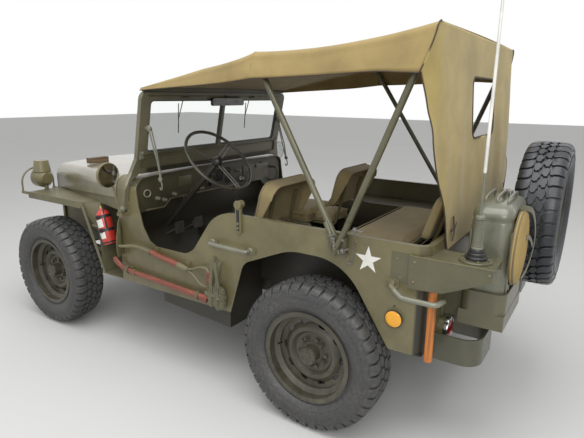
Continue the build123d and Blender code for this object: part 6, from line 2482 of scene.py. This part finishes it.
@dataclass
class SeatPads:
    """Canvas cushions and shell backs of the front seats, and the rear bench."""

    # Middle x, station of the rear legs, station of the back's foot, name
    seats: tuple[tuple[float, float, float, str], ...] = (
        (325.0, 1500.0, 1530.0, "driver"), (-325.0, 1500.0, 1624.0, "passenger")
    )
    low: float = 726.0
    top: float = 785.0
    lean: float = 14.0
    back_low: float = 860.0
    back_size: Pair = (430.0, 242.0)
    # Share of a cushion's depth, and scale of its plan there
    pad_profile: Pairs = (
        (0.0, 0.03), (0.0, 0.9), (0.1, 0.965), (0.5, 0.985), (0.88, 0.975), (1.0, 0.93), (1.06, 0.7),
        (1.1, 0.35), (1.11, 0.03),
    )
    seam_scale: float = 0.995
    # Scale of a back's outline, and depth to the rear there
    back_profile: Pairs = (
        (0.03, 3), (0.35, 2.5), (0.62, 1), (0.82, 1), (0.93, 4), (0.985, 12), (1.0, 24), (1.0, 60),
        (1.0, 84), (0.992, 91), (0.972, 92), (0.958, 84), (0.955, 60), (0.95, 38), (0.9, 29), (0.6, 27),
        (0.3, 26), (0.03, 26),
    )
    # Position along X, and scale of the bench back's section there
    bench_profile: Pairs = (
        (-438, 0.1), (-438, 0.7), (-430, 0.93), (-410, 1.0), (-140, 0.97), (0, 1.0), (140, 0.97),
        (410, 1.0), (430, 0.93), (438, 0.7), (438, 0.1),
    )

    def pad(self, name: str, outline: Sequence[Pair], low: float, high: float) -> None:
        """Build one crowned cushion from its plan.

        Args:
            name: The piece's name.
            outline: Corners in x and station, in millimetres.
            low: Height of its underside.
            high: Height of its seam.
        """
        middle = middle_of(outline)
        depth = high - low
        rings = []
        for share, scale in self.pad_profile:
            rings.append([place(x, s, low + depth * share) for x, s in scaled(outline, middle, scale)])
        shape = Shape()
        shape.loft(rings)
        cushion = shape.piece(name, SEAT_CANVAS, sharp=80.0)
        swell(cushion)
        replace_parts(cushion, "seat_cushions")
        seam = Shape()
        for level in (low + depth * 0.14, high - depth * 0.1):
            loop = [place(x, s, level) for x, s in scaled(outline, middle, self.seam_scale)]
            seam.tube(loop, 0.0032, 8, closed=True)
        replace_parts(seam.piece(f"{name}_piping", SEAT_PIPING), "seat_cushions")

    def build_back(self, name: str, middle_x: float, foot: float) -> None:
        """Build one back: a padded panel with a deep rim that is open to the rear.

        Args:
            name: Start of the pieces' names.
            middle_x: Middle of the seat.
            foot: Station of the back's lower front edge.
        """
        lean = math.radians(self.lean)
        up = Vector((0, math.sin(lean), math.cos(lean)))
        rear = Vector((0, math.cos(lean), -math.sin(lean)))
        base = place(middle_x, foot, self.back_low)
        half, height = self.back_size[0] / 2, self.back_size[1]
        corners = (
            (half - 72, height - 72, 72), (-half + 72, height - 72, 72), (-half + 34, 34, 34),
            (half - 34, 34, 34),
        )
        outline = rounded_outline(corners, 10)
        centre_y = height / 2

        def ring(scale: float, depth: float) -> list[Vector]:
            """Return the outline scaled about its middle, a depth to the rear."""
            points = []
            for px, py in outline:
                low_share = max(0.0, min(1.0, (py - 10) / 60))
                reach = min(depth, 30.0) + max(0.0, depth - 30.0) * low_share
                x = px * scale
                y = centre_y + (py - centre_y) * scale
                points.append(base + Vector((x / 1000, 0, 0)) + up * (y / 1000) + rear * (reach / 1000))
            return points

        shape = Shape()
        shape.loft([ring(scale, depth) for scale, depth in self.back_profile])
        back = shape.piece(f"{name}_back", SEAT_CANVAS, sharp=75.0, subdivide=1)
        bake_modifiers(back)
        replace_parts(back, "seat_cushions")
        seams = Shape()
        seams.tube(ring(1.003, 20), 0.003, 8, closed=True)
        top_edge = [point for point, (_, py) in zip(ring(0.985, 91), outline) if py > 40]
        seams.tube(top_edge, 0.0042, 8)
        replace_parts(seams.piece(f"{name}_back_piping", SEAT_PIPING), "seat_cushions")

    def build(self) -> None:
        """Build the pads of both front seats and of the rear bench."""
        for x, legs, foot, name in self.seats:
            self.pad(
                f"{name}_cushion", rounded_box((x - 212, x + 212), (legs - 272, legs - 18), 34), self.low,
                self.top,
            )
            self.pad(
                f"{name}_cushion_rear", rounded_box((x - 118, x + 118), (legs - 30, foot - 14), 12),
                self.low, self.top - 6,
            )
            self.build_back(name, x, foot)
        self.pad("bench_cushion", rounded_box((-437, 437), (1994, 2337), 40), 797.0, 850.0)
        self.build_bench_back()

    def build_bench_back(self) -> None:
        """Build the padded back of the rear bench."""
        outline = [
            (2404, 902), (2444, 901), (2475, 985), (2502, 1078), (2495, 1092), (2466, 1096), (2434, 1000)
        ]
        fine = smooth_rows([*outline, outline[0]], 4)[:-1]
        middle = middle_of(outline)
        shape = Shape()
        rings = [
            [place(x, s, z) for s, z in scaled(fine, middle, scale)] for x, scale in self.bench_profile
        ]
        shape.loft(rings)
        back = shape.piece("bench_back", SEAT_CANVAS, sharp=80.0, subdivide=1)
        bake_modifiers(back)
        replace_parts(back, "seat_cushions")


def dress_nodes() -> None:
    """Give every carried-over CAD node its finish."""
    for name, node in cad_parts.items():
        material = NODE_FINISHES.get(name, OLIVE).material()
        if not node.material_slots:
            node.data.materials.append(material)
        for slot in node.material_slots:
            slot.material = material
        LOG.info("dressed %s", name)


@dataclass
class Studio:
    """Camera, floor and soft lamps."""

    camera_at: Point = (2.55096, 1.87849, 1.52703)
    forward: Point = (-0.81239, -0.53066, -0.2417)
    roll: float = 0.0093
    focal_pixels: float = 497.77
    frame_width: float = 584.0
    sensor: float = 36.0
    floor_size: float = 60.0
    floor_colour: Colour = (0.62, 0.62, 0.61)

    def build_camera(self) -> None:
        """Set up the camera at the photograph's viewing angle."""
        data = bpy.data.cameras.new("camera")
        data.sensor_width = self.sensor
        data.lens = self.sensor * self.focal_pixels / self.frame_width
        data.clip_start, data.clip_end = 0.05, 200.0
        camera = bpy.data.objects.new("camera", data)
        bpy.context.scene.collection.objects.link(camera)
        ahead = Vector(self.forward).normalized()
        right = ahead.cross(UP).normalized()
        up = right.cross(ahead)
        turned = math.cos(self.roll) * right + math.sin(self.roll) * up
        lifted = math.cos(self.roll) * up - math.sin(self.roll) * right
        rotation = Matrix((turned, lifted, -ahead)).transposed()
        camera.matrix_world = Matrix.Translation(self.camera_at) @ rotation.to_4x4()
        bpy.context.scene.camera = camera

    def build_floor(self) -> None:
        """Lay a pale floor that takes the shadow."""
        mesh = bpy.data.meshes.new("floor")
        half = self.floor_size / 2
        mesh.from_pydata(
            [(-half, -half, 0), (half, -half, 0), (half, half, 0), (-half, half, 0)], [], [(0, 1, 2, 3)]
        )
        floor = bpy.data.objects.new("floor", mesh)
        bpy.context.scene.collection.objects.link(floor)
        sheet = NodeSheet("pale_floor")
        patch = sheet.noise(0.8, 3.0)
        darker = shaded(self.floor_colour, 0.94)
        sheet.feed("Base Color", sheet.mix(patch, darker, self.floor_colour))
        sheet.feed("Roughness", 0.8)
        floor.data.materials.append(sheet.material)

    def build_world(self) -> None:
        """Light the object from all round, with a white background."""
        world = bpy.data.worlds.new("studio")
        bpy.context.scene.world = world
        world.use_nodes = True
        nodes, links = world.node_tree.nodes, world.node_tree.links
        background = nodes["Background"]
        background.inputs["Color"].default_value = (1.0, 1.0, 1.0, 1.0)
        paths = nodes.new("ShaderNodeLightPath")
        seen = paths.outputs["Is Camera Ray"]
        for name in ("Is Transmission Ray", "Is Glossy Ray"):
            either = nodes.new("ShaderNodeMath")
            either.operation = "MAXIMUM"
            links.new(seen, either.inputs[0])
            links.new(paths.outputs[name], either.inputs[1])
            seen = either.outputs[0]
        strength = nodes.new("ShaderNodeMapRange")
        strength.inputs["To Min"].default_value = 0.6
        strength.inputs["To Max"].default_value = 1.0
        links.new(seen, strength.inputs["Value"])
        links.new(strength.outputs["Result"], background.inputs["Strength"])

    def build_lamps(self) -> None:
        """Hang two large soft lamps."""
        lamps = [("sky_lamp", (1.5, 1.0, 5.5), 5.0, 250.0), ("side_lamp", (5.0, 3.5, 3.5), 3.0, 120.0)]
        for name, where, size, power in lamps:
            data = bpy.data.lights.new(name, "AREA")
            data.size = size
            data.energy = power
            lamp = bpy.data.objects.new(name, data)
            lamp.location = where
            lamp.rotation_euler = (Vector((0, 0, 0.6)) - Vector(where)).to_track_quat("-Z", "Y").to_euler()
            bpy.context.scene.collection.objects.link(lamp)

    def build(self) -> None:
        """Build the whole studio."""
        self.build_camera()
        self.build_floor()
        self.build_world()
        self.build_lamps()
        bpy.context.scene.view_settings.view_transform = "Standard"


def main() -> None:
    """Build and dress the whole scene."""
    logging.basicConfig(level=logging.INFO)
    dress_nodes()
    for part in (
        RoadTyre, CanvasRoof, RearCurtain, SeatPads, BodyMarks, BodyFasteners, FuelCan, CanvasBucket,
        AntennaMast, Shovel, Axe, Extinguisher, Mirrors, WindshieldTrim, Dashboard, SteeringWheel,
        WheelTrim, Studio,
    ):
        part().build()


if __name__ == "__main__":
    main()
